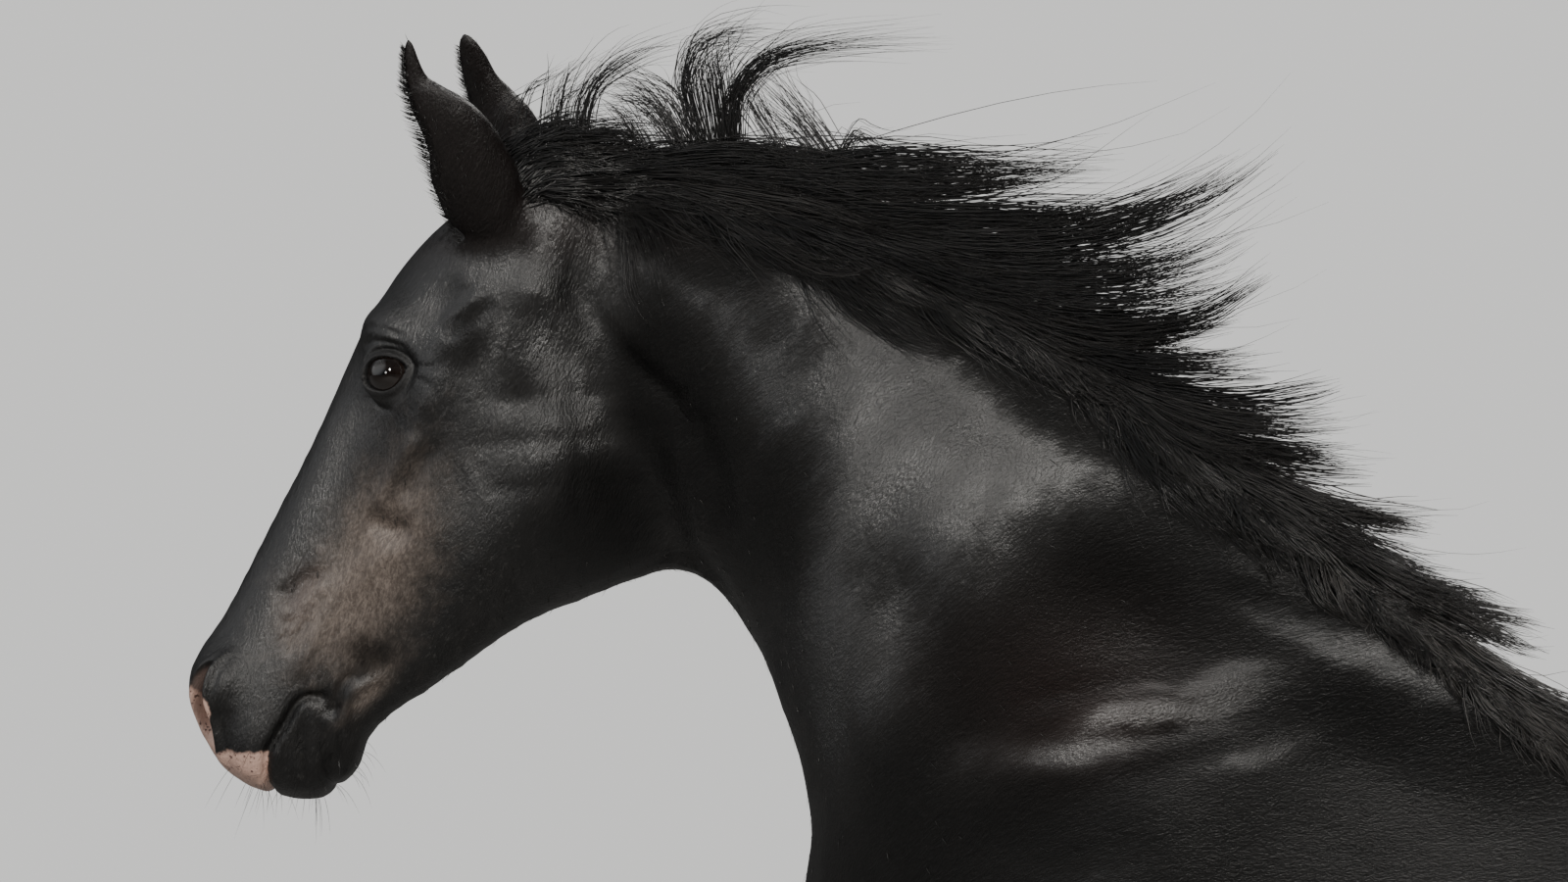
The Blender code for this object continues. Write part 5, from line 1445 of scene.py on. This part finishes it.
def grow_feelers():
    """Each strand leaves its root straight out, and bends with the square of the distance."""
    points, normals = points_of(skin.data), normals_of(skin.data)
    place = head_place(points)
    chin = near(place, (0.585, 0.085, 0.02), (0.045, 0.03, 0.05))
    lips = near(place, (0.60, 0.045, 0.03), (0.05, 0.05, 0.05))
    index = rng.choice(np.flatnonzero((chin | lips) & (place[:, 2] > 0.004)), FEELERS, replace=False)
    u = np.linspace(0, 1, 6)[None, :, None]
    down = np.array([-0.15, 0.0, -0.5])
    size = rng.uniform(0.012, 0.034, FEELERS)[:, None, None]
    feelers = points[index][:, None] + size * (u * normals[index][:, None] + u**2 * down)
    widths = [taper(u[..., 0], np.full(FEELERS, FEELER_WIDTH))]
    paths = [feelers]
    for side in (-1, 1):
        middle, long_axis, up, out = eye_axes(side)
        a = np.linspace(-0.5, 0.92, LASHES) * OPENING_HALF + rng.normal(0, 0.0004, LASHES)
        top, _ = opening_edge(a)
        c = ball_height(np.hypot(a, top)) + 0.0030
        root = middle + a[:, None] * long_axis + (top + 0.0008)[:, None] * up + c[:, None] * out
        reach = rng.uniform(0.010, 0.016, LASHES)[:, None, None]
        away = 0.80 * out - 0.42 * up + 0.25 * long_axis
        paths.append(root[:, None] + reach * (u * away + 0.30 * u**2 * (up + 0.2 * long_axis)))
        widths.append(taper(u[..., 0], np.full(LASHES, LASH_WIDTH)))
    paths, width = np.concatenate(paths), np.concatenate(widths)
    facing = np.array([0.6, 0.5, 0.6])
    tint = np.full(len(paths), 0.8)
    mesh = hair_mesh("feelers", paths, width, facing, unwrap_place(paths[:, 0]), tint, thick=0.9)
    return linked("feelers", mesh)


feelers = grow_feelers()
print("feelers", triangles_of(feelers.data), "triangles")

# %% [markdown]
# Markings are numbers stored at the skin's points: how bare and brown the muzzle is, with a painted
# brown-grey sheen on the cheek in the same mask, and where the pink snip lies. Skin and hair read the
# same black. Three masks tell which way the coat lies. A groomed coat shines where its hairs turn
# towards the light, and is dull where they turn away, so two more masks hold ovals where such patches
# lie on the head, neck and shoulder.

# %% Markings
# Where the lie of the coat turns away from the light: X, Z, half-length, half-width, tilt and strength
DULL = (
    (-0.805, 1.960, 0.160, 0.070, 60, 0.9),  # behind the jaw
    (-0.485, 1.985, 0.170, 0.042, 34, 0.9),  # under the crest
    (-0.780, 2.110, 0.100, 0.045, 18, 0.7),
    (-0.712, 2.050, 0.060, 0.090, -10, 0.40),
    (-0.595, 1.790, 0.090, 0.050, 60, 0.42),  # side of the neck, below
    (-0.880, 1.865, 0.060, 0.085, 20, 1.0),  # back of the jaw
    (-1.140, 1.650, 0.055, 0.050, 0, 0.35),  # lower lip
    (-1.095, 1.742, 0.028, 0.022, 0, 0.7),  # corner of the mouth
    (-0.950, 2.005, 0.030, 0.040, -15, 0.36),  # rear cheek
    (-0.440, 1.915, 0.060, 0.030, 35, 0.35),
    (-1.002, 2.030, 0.035, 0.030, 0, 0.50),
    (-0.730, 1.860, 0.060, 0.110, 20, 0.8),  # throat
    (-0.567, 1.650, 0.040, 0.090, 0, 0.55),  # front of the shoulder
)
# Where it turns towards the light, told in the same way
LIT = (
    (-0.580, 1.920, 0.060, 0.085, 40, 0.45),  # side of the neck
    (-0.160, 1.733, 0.170, 0.015, 23, 0.9),  # ridge of the withers
    (-0.365, 1.692, 0.120, 0.015, -12, 0.9),  # edge of the shoulder blade
    (-0.450, 1.660, 0.090, 0.022, -8, 0.8),
    (-0.270, 1.656, 0.060, 0.014, -20, 0.5),
    (-0.390, 1.860, 0.110, 0.035, 33, 0.20),
    (-0.615, 1.715, 0.050, 0.065, 10, 0.50),
    (-0.895, 1.965, 0.030, 0.050, 0, 0.40),
    (-0.300, 1.722, 0.060, 0.016, -20, 0.7),
    (-0.420, 1.550, 0.090, 0.025, 0, 0.35),
    (-0.660, 1.690, 0.035, 0.100, 0, 0.55),  # front of the neck
    (-0.995, 1.870, 0.042, 0.080, 15, 0.75),  # cheek
    (-0.930, 1.915, 0.035, 0.040, 0, 0.45),
    (-0.885, 2.065, 0.035, 0.045, 0, 0.45),  # behind the eye
    (-1.100, 1.704, 0.034, 0.009, -50, 0.6),  # fold behind the lips
    (-1.135, 1.900, 0.020, 0.110, 26, 0.80),  # side of the face
    (-1.160, 1.810, 0.035, 0.085, 26, 0.90),
)
BODY_DULL = 0.80
EDGE_WAVE = 0.0045
# Head measures, along and deep, of the mouth's line and of the snip's rear edge
MOUTH_LINE = ((0.582, 0.030), (0.596, 0.030), (0.625, 0.040), (0.640, 0.046))
SNIP_EDGE = (
    (0.545, -0.062), (0.556, -0.046), (0.570, -0.037), (0.585, -0.032), (0.600, -0.028), (0.612, -0.020),
    (0.625, -0.008),
)
RIGHT_PINK = 0.5
NOSTRIL_INSIDE = (0.568, -0.050, 0.036)
LID_REACH = 0.027


def ovals(points, table):
    """Largest of the table's ovals: strength times exp(-q^1.15), q the squared distance, edges waved."""
    mask = np.zeros(len(points))
    wave = EDGE_WAVE * np.sin(38 * points[:, 0] + 60 * points[:, 2])
    for x, z, long, wide, tilt, strength in table:
        q = tilted_oval(points[:, 0] - x, points[:, 2] - z + wave, long, wide, tilt)
        mask = np.maximum(mask, strength * np.exp(-(q**1.15)))
    return mask


def spot(a, b, middle, radii):
    """exp(-p^2 - q^2), where p and q are the distances of a and b from the middle over the radii."""
    return np.exp(-(((a - middle[0]) / radii[0]) ** 2) - ((b - middle[1]) / radii[1]) ** 2)


def store_markings(mesh):
    """Ramps and spots over the head's and the body's measures, each kept as one number for a point."""
    points = points_of(mesh)
    x, y, z = points.T
    place = head_place(points)
    along, deep, _ = place.T
    on_head = head_zone(points)

    mouth = np.interp(along, *np.transpose(MOUTH_LINE))
    lip = ramp(along + 0.524 * deep, 0.598, 0.618) * (1 - ramp(deep - mouth, -0.003, 0.002))
    edge = np.interp(along, *np.transpose(SNIP_EDGE))
    band = ramp(along, 0.566, 0.584) * (1 - ramp(deep - edge, -0.006, 0.003))
    pink = on_head * np.maximum(lip, band) * np.where(y < 0, 1.0, RIGHT_PINK)

    lid = np.linalg.norm((place - np.array(EYE)) / (1, 1, 1.6), axis=1)
    inside = np.linalg.norm((place - np.array(NOSTRIL_INSIDE)) / (1.5, 1, 1), axis=1)
    # These spots hold the grey-brown of the thinly haired muzzle and, brightest on the cheek along the
    # facial crest, a painted brown-grey sheen.
    bare_and_sheen = 0.9 * spot(along, deep, (0.390, 0.044), (0.100, 0.052))
    bare_and_sheen += 0.45 * spot(along, deep + 0.27 * (along - 0.504), (0.504, 0.086), (0.040, 0.009))
    bare_and_sheen += 0.35 * spot(along, deep, (0.475, 0.005), (0.05, 0.04))

    on_ear = ramp(z, 2.085, 2.125) * ramp(np.abs(y), 0.028, 0.045)
    behind = ramp(x - 1.2 * (z - 1.80), -0.70, -0.40) * ramp(z, 1.12, 1.50)
    behind *= 1 - 0.85 * ramp(x, -0.08, 0.32)
    dull = np.maximum(0.55 * on_ear * ramp(-x, 0.915, 0.955), ovals(points, DULL))
    dull = np.maximum(dull, BODY_DULL * behind * ramp(-y, -0.05, 0.05))
    lit = ovals(points, LIT)
    steep = 1 - ramp(normals_of(mesh)[:, 2], 0.60, 0.95)

    hollow = spot(along, deep, (0.452, -0.002), (0.030, 0.014))
    hollow += 0.8 * spot(along, deep, (0.355, 0.042), (0.016, 0.014))
    warm = 0.45 * spot(x, z, (-0.44, 1.72), (0.10, 0.07)) + 1.2 * hollow * on_head + 0.15 * on_ear

    marks = {
        "pink": pink,
        "lid": np.exp(-((lid / LID_REACH) ** 6)),
        "flesh": on_head * (1 - ramp(inside, 0.011, 0.019)),
        "bare_and_sheen": np.clip(on_head * bare_and_sheen, 0, 1),
        "warm": np.clip(warm, 0, 1),
        "dull": dull * (1 - lit) * steep,
        "lit": lit * ramp(-y, 0.0, 0.04) * ramp(-x, 0.58, 0.64),
        "head_lie": on_head * ramp(-x, 0.80, 0.90),
        "leg_lie": 1 - ramp(z, 0.80, 1.05),
        "neck_lie": ramp(-x, 0.30, 0.60),
    }
    for name, values in marks.items():
        set_attribute(mesh, name, values)
    print("marks", *marks, "with", int((pink > 0.5).sum()), "pink points")


store_markings(skin.data)

# %% [markdown]
# The coat's gloss comes from fine hair lying one way. A node group makes that grain: noise
# stretched along a direction, which turns with the region. It puts out only a height. The short
# helpers below it each add one node, or a few, and hand back what comes out.

# %% Grain group
def feed(socket, value):
    """Gives an input a link where the value is another node's output, else the number or colour."""
    if isinstance(value, bpy.types.NodeSocket):
        socket.id_data.links.new(value, socket)
    elif socket.type == "RGBA":
        socket.default_value = (*value, 1.0)
    else:
        socket.default_value = value


def nodes_of(tree):
    """The tree's own function that adds a node, given its inputs, and its settings by name."""

    def add(kind, inputs=None, **settings):
        node = tree.nodes.new(kind)
        for name, value in settings.items():
            setattr(node, name, value)
        for name, value in (inputs or {}).items():
            feed(node.inputs[name], value)
        return node

    return add


def calculated(add, operation, *values):
    """One Math node, given numbers or sockets."""
    return add("ShaderNodeMath", dict(enumerate(values)), operation=operation).outputs[0]


def directed(add, operation, *values, result="Vector"):
    """One Vector Math node, given vectors or sockets."""
    return add("ShaderNodeVectorMath", dict(enumerate(values)), operation=operation).outputs[result]


def noise_at(add, scale, detail=2.0, roughness=0.5, where=None):
    """Noise on Object coordinates, or on those given."""
    if where is None:
        where = add("ShaderNodeTexCoord").outputs["Object"]
    inputs = {"Vector": where, "Scale": scale, "Detail": detail, "Roughness": roughness}
    return add("ShaderNodeTexNoise", inputs).outputs["Fac"]


def grain_group():
    """Inputs: Angle about Y, Scale and Stretch. Outputs: Height of the grain."""
    tree = bpy.data.node_groups.new("lying hair", "ShaderNodeTree")
    for name in ("Angle", "Scale", "Stretch"):
        tree.interface.new_socket(name, in_out="INPUT", socket_type="NodeSocketFloat")
    tree.interface.new_socket("Height", in_out="OUTPUT", socket_type="NodeSocketFloat")
    add = nodes_of(tree)
    given = add("NodeGroupInput").outputs
    where = {"Vector": add("ShaderNodeTexCoord").outputs["Object"], "Angle": given["Angle"]}
    turned = add("ShaderNodeVectorRotate", where, rotation_type="Y_AXIS").outputs["Vector"]
    squeeze = add("ShaderNodeCombineXYZ", {"X": given["Stretch"], "Y": 1.0, "Z": 1.0}).outputs["Vector"]
    stretched = directed(add, "MULTIPLY", turned, squeeze)
    fine = noise_at(add, given["Scale"], 3.0, 0.65, stretched)
    coarse = noise_at(add, calculated(add, "MULTIPLY", given["Scale"], 0.42), 1.0, where=stretched)
    add("NodeGroupOutput", {"Height": calculated(add, "MULTIPLY_ADD", coarse, 0.45, fine)})
    return tree


GRAIN = grain_group()
print("grain group", len(GRAIN.nodes), "nodes")


def new_material(name):
    material = bpy.data.materials.new(name)
    material.use_nodes = True
    tree = material.node_tree
    return material, tree.nodes["Principled BSDF"], nodes_of(tree)


def attribute(add, name):
    return add("ShaderNodeAttribute", attribute_name=name).outputs["Fac"]


def mix_numbers(add, factor, a, b):
    return add("ShaderNodeMix", {"Factor": factor, "A": a, "B": b}, data_type="FLOAT").outputs["Result"]


def mix_colours(add, factor, a, b):
    return add("ShaderNodeMix", {"Factor": factor, "A": a, "B": b}, data_type="RGBA").outputs["Result"]


def ramped(add, value, low, high):
    """0 below low, 1 above high, and an S-shaped rise between them."""
    inputs = {"Value": value, "From Min": low, "From Max": high}
    return add("ShaderNodeMapRange", inputs, interpolation_type="SMOOTHSTEP").outputs["Result"]


def wobbled(add, value, scale, size):
    """The value with noise added, which makes the edge of a mask irregular."""
    wobble = calculated(add, "MULTIPLY_ADD", noise_at(add, scale, 4.0), size, -size / 2)
    return calculated(add, "ADD", value, wobble)


def streaked(add, mask, fine, coarse):
    """mask + (fine + coarse - 1.42) (0.18 + mask (1 - mask)): the grain shows most at half strength."""
    grain = calculated(add, "SUBTRACT", calculated(add, "ADD", fine, coarse), 1.42)
    slope = calculated(add, "MULTIPLY", mask, calculated(add, "SUBTRACT", 1.0, mask))
    return calculated(add, "MULTIPLY_ADD", grain, calculated(add, "ADD", slope, 0.18), mask)


def leaned(add, normal, mask, amount, direction):
    """The normal plus the direction times mask times amount, made one long again."""
    size = calculated(add, "MULTIPLY", mask, amount)
    push = add("ShaderNodeVectorMath", {0: direction, "Scale": size}, operation="SCALE")
    return directed(add, "NORMALIZE", directed(add, "ADD", normal, push.outputs["Vector"]))


def bumped(add, height, distance, strength=1.0, **normal):
    inputs = {"Height": height, "Distance": distance, "Strength": strength}
    return add("ShaderNodeBump", inputs | normal).outputs["Normal"]


# %% [markdown]
# The skin's material: black hair with a slight brown depth, grey-brown where the muzzle is nearly
# bare, a painted brown-grey sheen on the cheek, painted highlight specks where the coat is glossy,
# and pink on the snip with dark freckles. Gloss is patchy, as on a groomed living coat. Under the
# dull and lit masks the normal leans away from the light or towards it, as the hairs there do.

# %% Coat material
BLACK = (0.0024, 0.0022, 0.0022)
BROWN_BLACK = (0.020, 0.008, 0.006)
MOTTLE = (0.0060, 0.0055, 0.0053)
# Painted highlight: pale specks in the base colour that stand in for glints off the hair.
PAINTED_GLINT = (0.026, 0.025, 0.024)
# Grey-brown of thinly haired skin; on the cheek the same colours are a painted brown-grey sheen.
BARE_SKIN_SHEEN_DARK = (0.062, 0.047, 0.038)
BARE_SKIN_SHEEN_LIGHT = (0.165, 0.134, 0.114)
LID_BLACK = (0.0014, 0.0012, 0.0012)
NOSTRIL_FLESH = (0.150, 0.108, 0.094)
SNIP_PINK = (0.50, 0.33, 0.27)
FRECKLE = (0.10, 0.055, 0.045)
AWAY = (-0.10, 0.0, -1.0)
TOWARDS = (0.60, -0.70, 0.25)


# Mask of each region, and how far the grain turns there from level, in radians
LIE_TURNS = (("", 0.39), ("neck_lie", 0.90), ("leg_lie", 1.47), ("head_lie", 1.25))


def lying(add, scale, stretch):
    """Grain that follows the lie of the coat on body, neck, legs and head."""
    height = None
    for region, turn in LIE_TURNS:
        inputs = {"Angle": turn, "Scale": scale, "Stretch": stretch}
        value = add("ShaderNodeGroup", inputs, node_tree=GRAIN).outputs["Height"]
        height = mix_numbers(add, attribute(add, region), height, value) if region else value
    return height


def coat_material():
    material, shader, add = new_material("short coat")
    fine = lying(add, 560.0, 0.30)
    mottle = lying(add, 70.0, 0.40)
    patches = lying(add, 24.0, 0.45)
    dull = ramped(add, streaked(add, attribute(add, "dull"), mottle, patches), 0.0, 1.05)
    # Mask of the muzzle's grey-brown skin and of the painted sheen on the cheek, coloured by the grain.
    bare_and_sheen = ramped(add, wobbled(add, attribute(add, "bare_and_sheen"), 55.0, 0.5), 0.05, 0.95)
    # Painted highlight specks on the grain's peaks, left out where the coat is dull.
    painted_glints = mix_numbers(add, dull, ramped(add, fine, 0.78, 1.02), 0.0)
    bare_skin_sheen_grey = mix_colours(add, ramped(add, fine, 0.5, 1.0), BARE_SKIN_SHEEN_DARK, BARE_SKIN_SHEEN_LIGHT)
    freckles = ramped(add, noise_at(add, 240.0, 3.0), 0.58, 0.70)
    pink = ramped(add, wobbled(add, attribute(add, "pink"), 120.0, 0.9), 0.30, 0.70)
    colour = mix_colours(add, ramped(add, mottle, 0.55, 0.95), BLACK, MOTTLE)
    for mask, over in (
        (painted_glints, PAINTED_GLINT),
        (attribute(add, "warm"), BROWN_BLACK),
        (bare_and_sheen, bare_skin_sheen_grey),
        (attribute(add, "lid"), LID_BLACK),
        (attribute(add, "flesh"), NOSTRIL_FLESH),
        (pink, mix_colours(add, freckles, SNIP_PINK, FRECKLE)),
    ):
        colour = mix_colours(add, mask, colour, over)
    feed(shader.inputs["Base Color"], colour)
    rough = mix_numbers(add, ramped(add, patches, 0.55, 0.90), 0.29, 0.44)
    for mask, over in ((bare_and_sheen, 0.46), (dull, 0.50), (attribute(add, "lid"), 0.72)):
        rough = mix_numbers(add, mask, rough, over)
    feed(shader.inputs["Roughness"], rough)
    normal = leaned(add, add("ShaderNodeNewGeometry").outputs["Normal"], dull, 1.25, AWAY)
    normal = leaned(add, normal, attribute(add, "lit"), 1.0, TOWARDS)
    height = calculated(add, "MULTIPLY_ADD", mottle, 0.6, fine)
    feed(shader.inputs["Normal"], bumped(add, height, 0.0013, 0.85, Normal=normal))
    shader.inputs["Specular IOR Level"].default_value = 0.46
    return material


COAT = coat_material()
print("coat material made")

# %% [markdown]
# Long hair has one material. Each strand's own tint makes it lighter or darker, and on the mane the
# tint grows lighter towards the withers, a painted highlight. The ends are a little browner, where sun
# bleaches them. Horn is dark with level bands, and an eye is brown glass.

# %% Hair, horn and eye materials
HAIR_BLACK = (0.0024, 0.0023, 0.0024)
HAIR_PALE = (0.046, 0.042, 0.039)
HAIR_TIP = (0.010, 0.0088, 0.0080)
HORN_DARK = (0.020, 0.017, 0.015)
HORN_BAND = (0.040, 0.034, 0.030)
HORN_SCUFF = (0.060, 0.052, 0.045)
IRIS_DARK = (0.0030, 0.0020, 0.0016)
IRIS_BROWN = (0.0075, 0.0042, 0.0030)
PUPIL = (0.0012, 0.0012, 0.0016)
IRIS_EDGE = (0.008, 0.005, 0.004)
EYE_CORNER = (0.016, 0.011, 0.009)


def hair_material():
    material, shader, add = new_material("long hair")
    tint = ramped(add, attribute(add, "tint"), 0.3, 3.4)
    tip = ramped(add, attribute(add, "reach"), 0.5, 1.3)
    colour = mix_colours(add, tip, mix_colours(add, tint, HAIR_BLACK, HAIR_PALE), HAIR_TIP)
    feed(shader.inputs["Base Color"], colour)
    feed(shader.inputs["Roughness"], mix_numbers(add, tint, 0.30, 0.42))
    shader.inputs["Specular IOR Level"].default_value = 0.40
    return material


def horn_material():
    material, shader, add = new_material("horn")
    place = {"Vector": add("ShaderNodeTexCoord").outputs["Object"]}
    height = add("ShaderNodeSeparateXYZ", place).outputs["Z"]
    level = add("ShaderNodeCombineXYZ", {"Z": height}).outputs["Vector"]
    bands = ramped(add, noise_at(add, 130.0, where=level), 0.3, 0.7)
    fine = noise_at(add, 300.0, 3.0)
    colour = mix_colours(add, bands, HORN_DARK, HORN_BAND)
    feed(shader.inputs["Base Color"], mix_colours(add, ramped(add, fine, 0.5, 0.8), colour, HORN_SCUFF))
    feed(shader.inputs["Roughness"], mix_numbers(add, fine, 0.34, 0.56))
    feed(shader.inputs["Normal"], bumped(add, fine, 0.0004))
    return material


def eye_material():
    material, shader, add = new_material("eye")
    iris = attribute(add, "iris")
    brown = mix_colours(add, noise_at(add, 900.0, 3.0), IRIS_DARK, IRIS_BROWN)
    colour = mix_colours(add, ramped(add, attribute(add, "pupil"), 0.9, 1.15), PUPIL, brown)
    colour = mix_colours(add, ramped(add, iris, 0.60, 0.70), colour, IRIS_EDGE)
    colour = mix_colours(add, ramped(add, iris, 0.86, 0.97), colour, EYE_CORNER)
    feed(shader.inputs["Base Color"], colour)
    shader.inputs["Roughness"].default_value = 0.06
    shader.inputs["Specular IOR Level"].default_value = 0.35
    shader.inputs["Coat Weight"].default_value = 0.60
    shader.inputs["Coat Roughness"].default_value = 0.02
    return material


HAIR = hair_material()
HORN = horn_material()
EYEBALL = eye_material()


def declare(obj, material, slot, *nodes):
    """Gives a piece its material and body, and hides the solids it stands for. The slot is not used."""
    obj.data.materials.clear()
    obj.data.materials.append(material)
    obj.data.polygons.foreach_set("use_smooth", np.ones(len(obj.data.polygons), bool))
    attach(obj, "root")
    if nodes:
        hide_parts(*nodes)


declare(skin, COAT, "short_coat", *FLESH, "ear_left", "ear_right")
declare(eyes[-1], EYEBALL, "eyeball", "eye_left")
declare(eyes[1], EYEBALL, "eyeball", "eye_right")
for leg in LEGS:
    declare(hooves[leg], HORN, "hoof_horn", leg + "_hoof")
    declare(feathers[leg], HAIR, "long_hair", leg + "_feather")
declare(mane[0], HAIR, "long_hair", "mane")
declare(tail[0], HAIR, "long_hair", "tail")
for piece in (*mane[1:], *tail[1:], wisps, fringe, tufts, feelers):
    declare(piece, HAIR, "long_hair")

# %% [markdown]
# A pale floor and soft studio light. The key light stands high on the camera's side, so that
# the neck and the shoulder shine where they do in the photo. A cool fill stands for the sky.

# %% Floor and lights
FLOOR_HALF = 18.0
FLOOR_PALE = (0.26, 0.255, 0.245)
FLOOR_GLOW = 0.62
BACKDROP = (0.86, 0.855, 0.84)
ROOM_LOW = (0.036, 0.035, 0.033)
ROOM_TOP = (0.155, 0.163, 0.172)
SKY_GLOW = (1.33, 1.35, 1.37)
SKY_GLOW_SIDE = (-0.75, -0.40, 0.53)
# Name, place, what it points at, size, power and colour
LIGHTS = (
    ("key", (1.24, -4.70, 4.24), (-0.50, 0.0, 1.85), 1.2, 350, (1.0, 0.97, 0.92)),
    ("cheek", (-1.9, -6.6, 2.6), (-1.0, 0.0, 1.85), 1.2, 60, (1.0, 0.98, 0.95)),
    ("rim", (1.5, 3.6, 4.6), (-0.4, 0.0, 1.9), 2.5, 160, (1.0, 0.98, 0.95)),
)


def floor_material():
    """Pale, with a glow that only the camera sees, so that the floor runs into the backdrop."""
    material, shader, add = new_material("floor")
    feed(shader.inputs["Base Color"], FLOOR_PALE)
    shader.inputs["Roughness"].default_value = 0.9
    feed(shader.inputs["Emission Color"], BACKDROP)
    seen = add("ShaderNodeLightPath").outputs["Is Camera Ray"]
    feed(shader.inputs["Emission Strength"], calculated(add, "MULTIPLY", seen, FLOOR_GLOW))
    return material


def area_light(name, place, target, size, power, colour):
    """A round light at place, turned so that its -Z axis points at the target."""
    light = bpy.data.lights.new(name, "AREA")
    light.shape = "DISK"
    light.size = size
    light.energy = power
    light.color = colour
    obj = linked(name, light)
    obj.location = place
    back = unit(np.array(place) - np.array(target))
    obj.rotation_euler = (math.acos(back[2]), 0, math.atan2(back[1], back[0]) + math.pi / 2)


def studio_world():
    """A pale backdrop to the camera, and for the light a dim room with a cool glow on one side."""
    world = bpy.data.worlds.new("world")
    world.use_nodes = True
    add = nodes_of(world.node_tree)
    where = add("ShaderNodeTexCoord").outputs["Generated"]
    height = add("ShaderNodeSeparateXYZ", {"Vector": where}).outputs["Z"]
    room = mix_colours(add, ramped(add, height, -0.1, 0.9), ROOM_LOW, ROOM_TOP)
    towards = directed(add, "DOT_PRODUCT", where, SKY_GLOW_SIDE, result="Value")
    room = mix_colours(add, ramped(add, towards, 0.62, 0.93), room, SKY_GLOW)
    seen = add("ShaderNodeLightPath").outputs["Is Camera Ray"]
    feed(world.node_tree.nodes["Background"].inputs["Color"], mix_colours(add, seen, room, BACKDROP))
    return world


floor_corners = FLOOR_HALF * np.array([[-1, -1, 0], [1, -1, 0], [1, 1, 0], [-1, 1, 0]])
floor = linked("floor", mesh_from("floor", floor_corners, [np.array([[0, 1, 2, 3]])]))
floor.data.materials.append(floor_material())
for row in LIGHTS:
    area_light(*row)
bpy.context.scene.world = studio_world()
print("lights", len(LIGHTS))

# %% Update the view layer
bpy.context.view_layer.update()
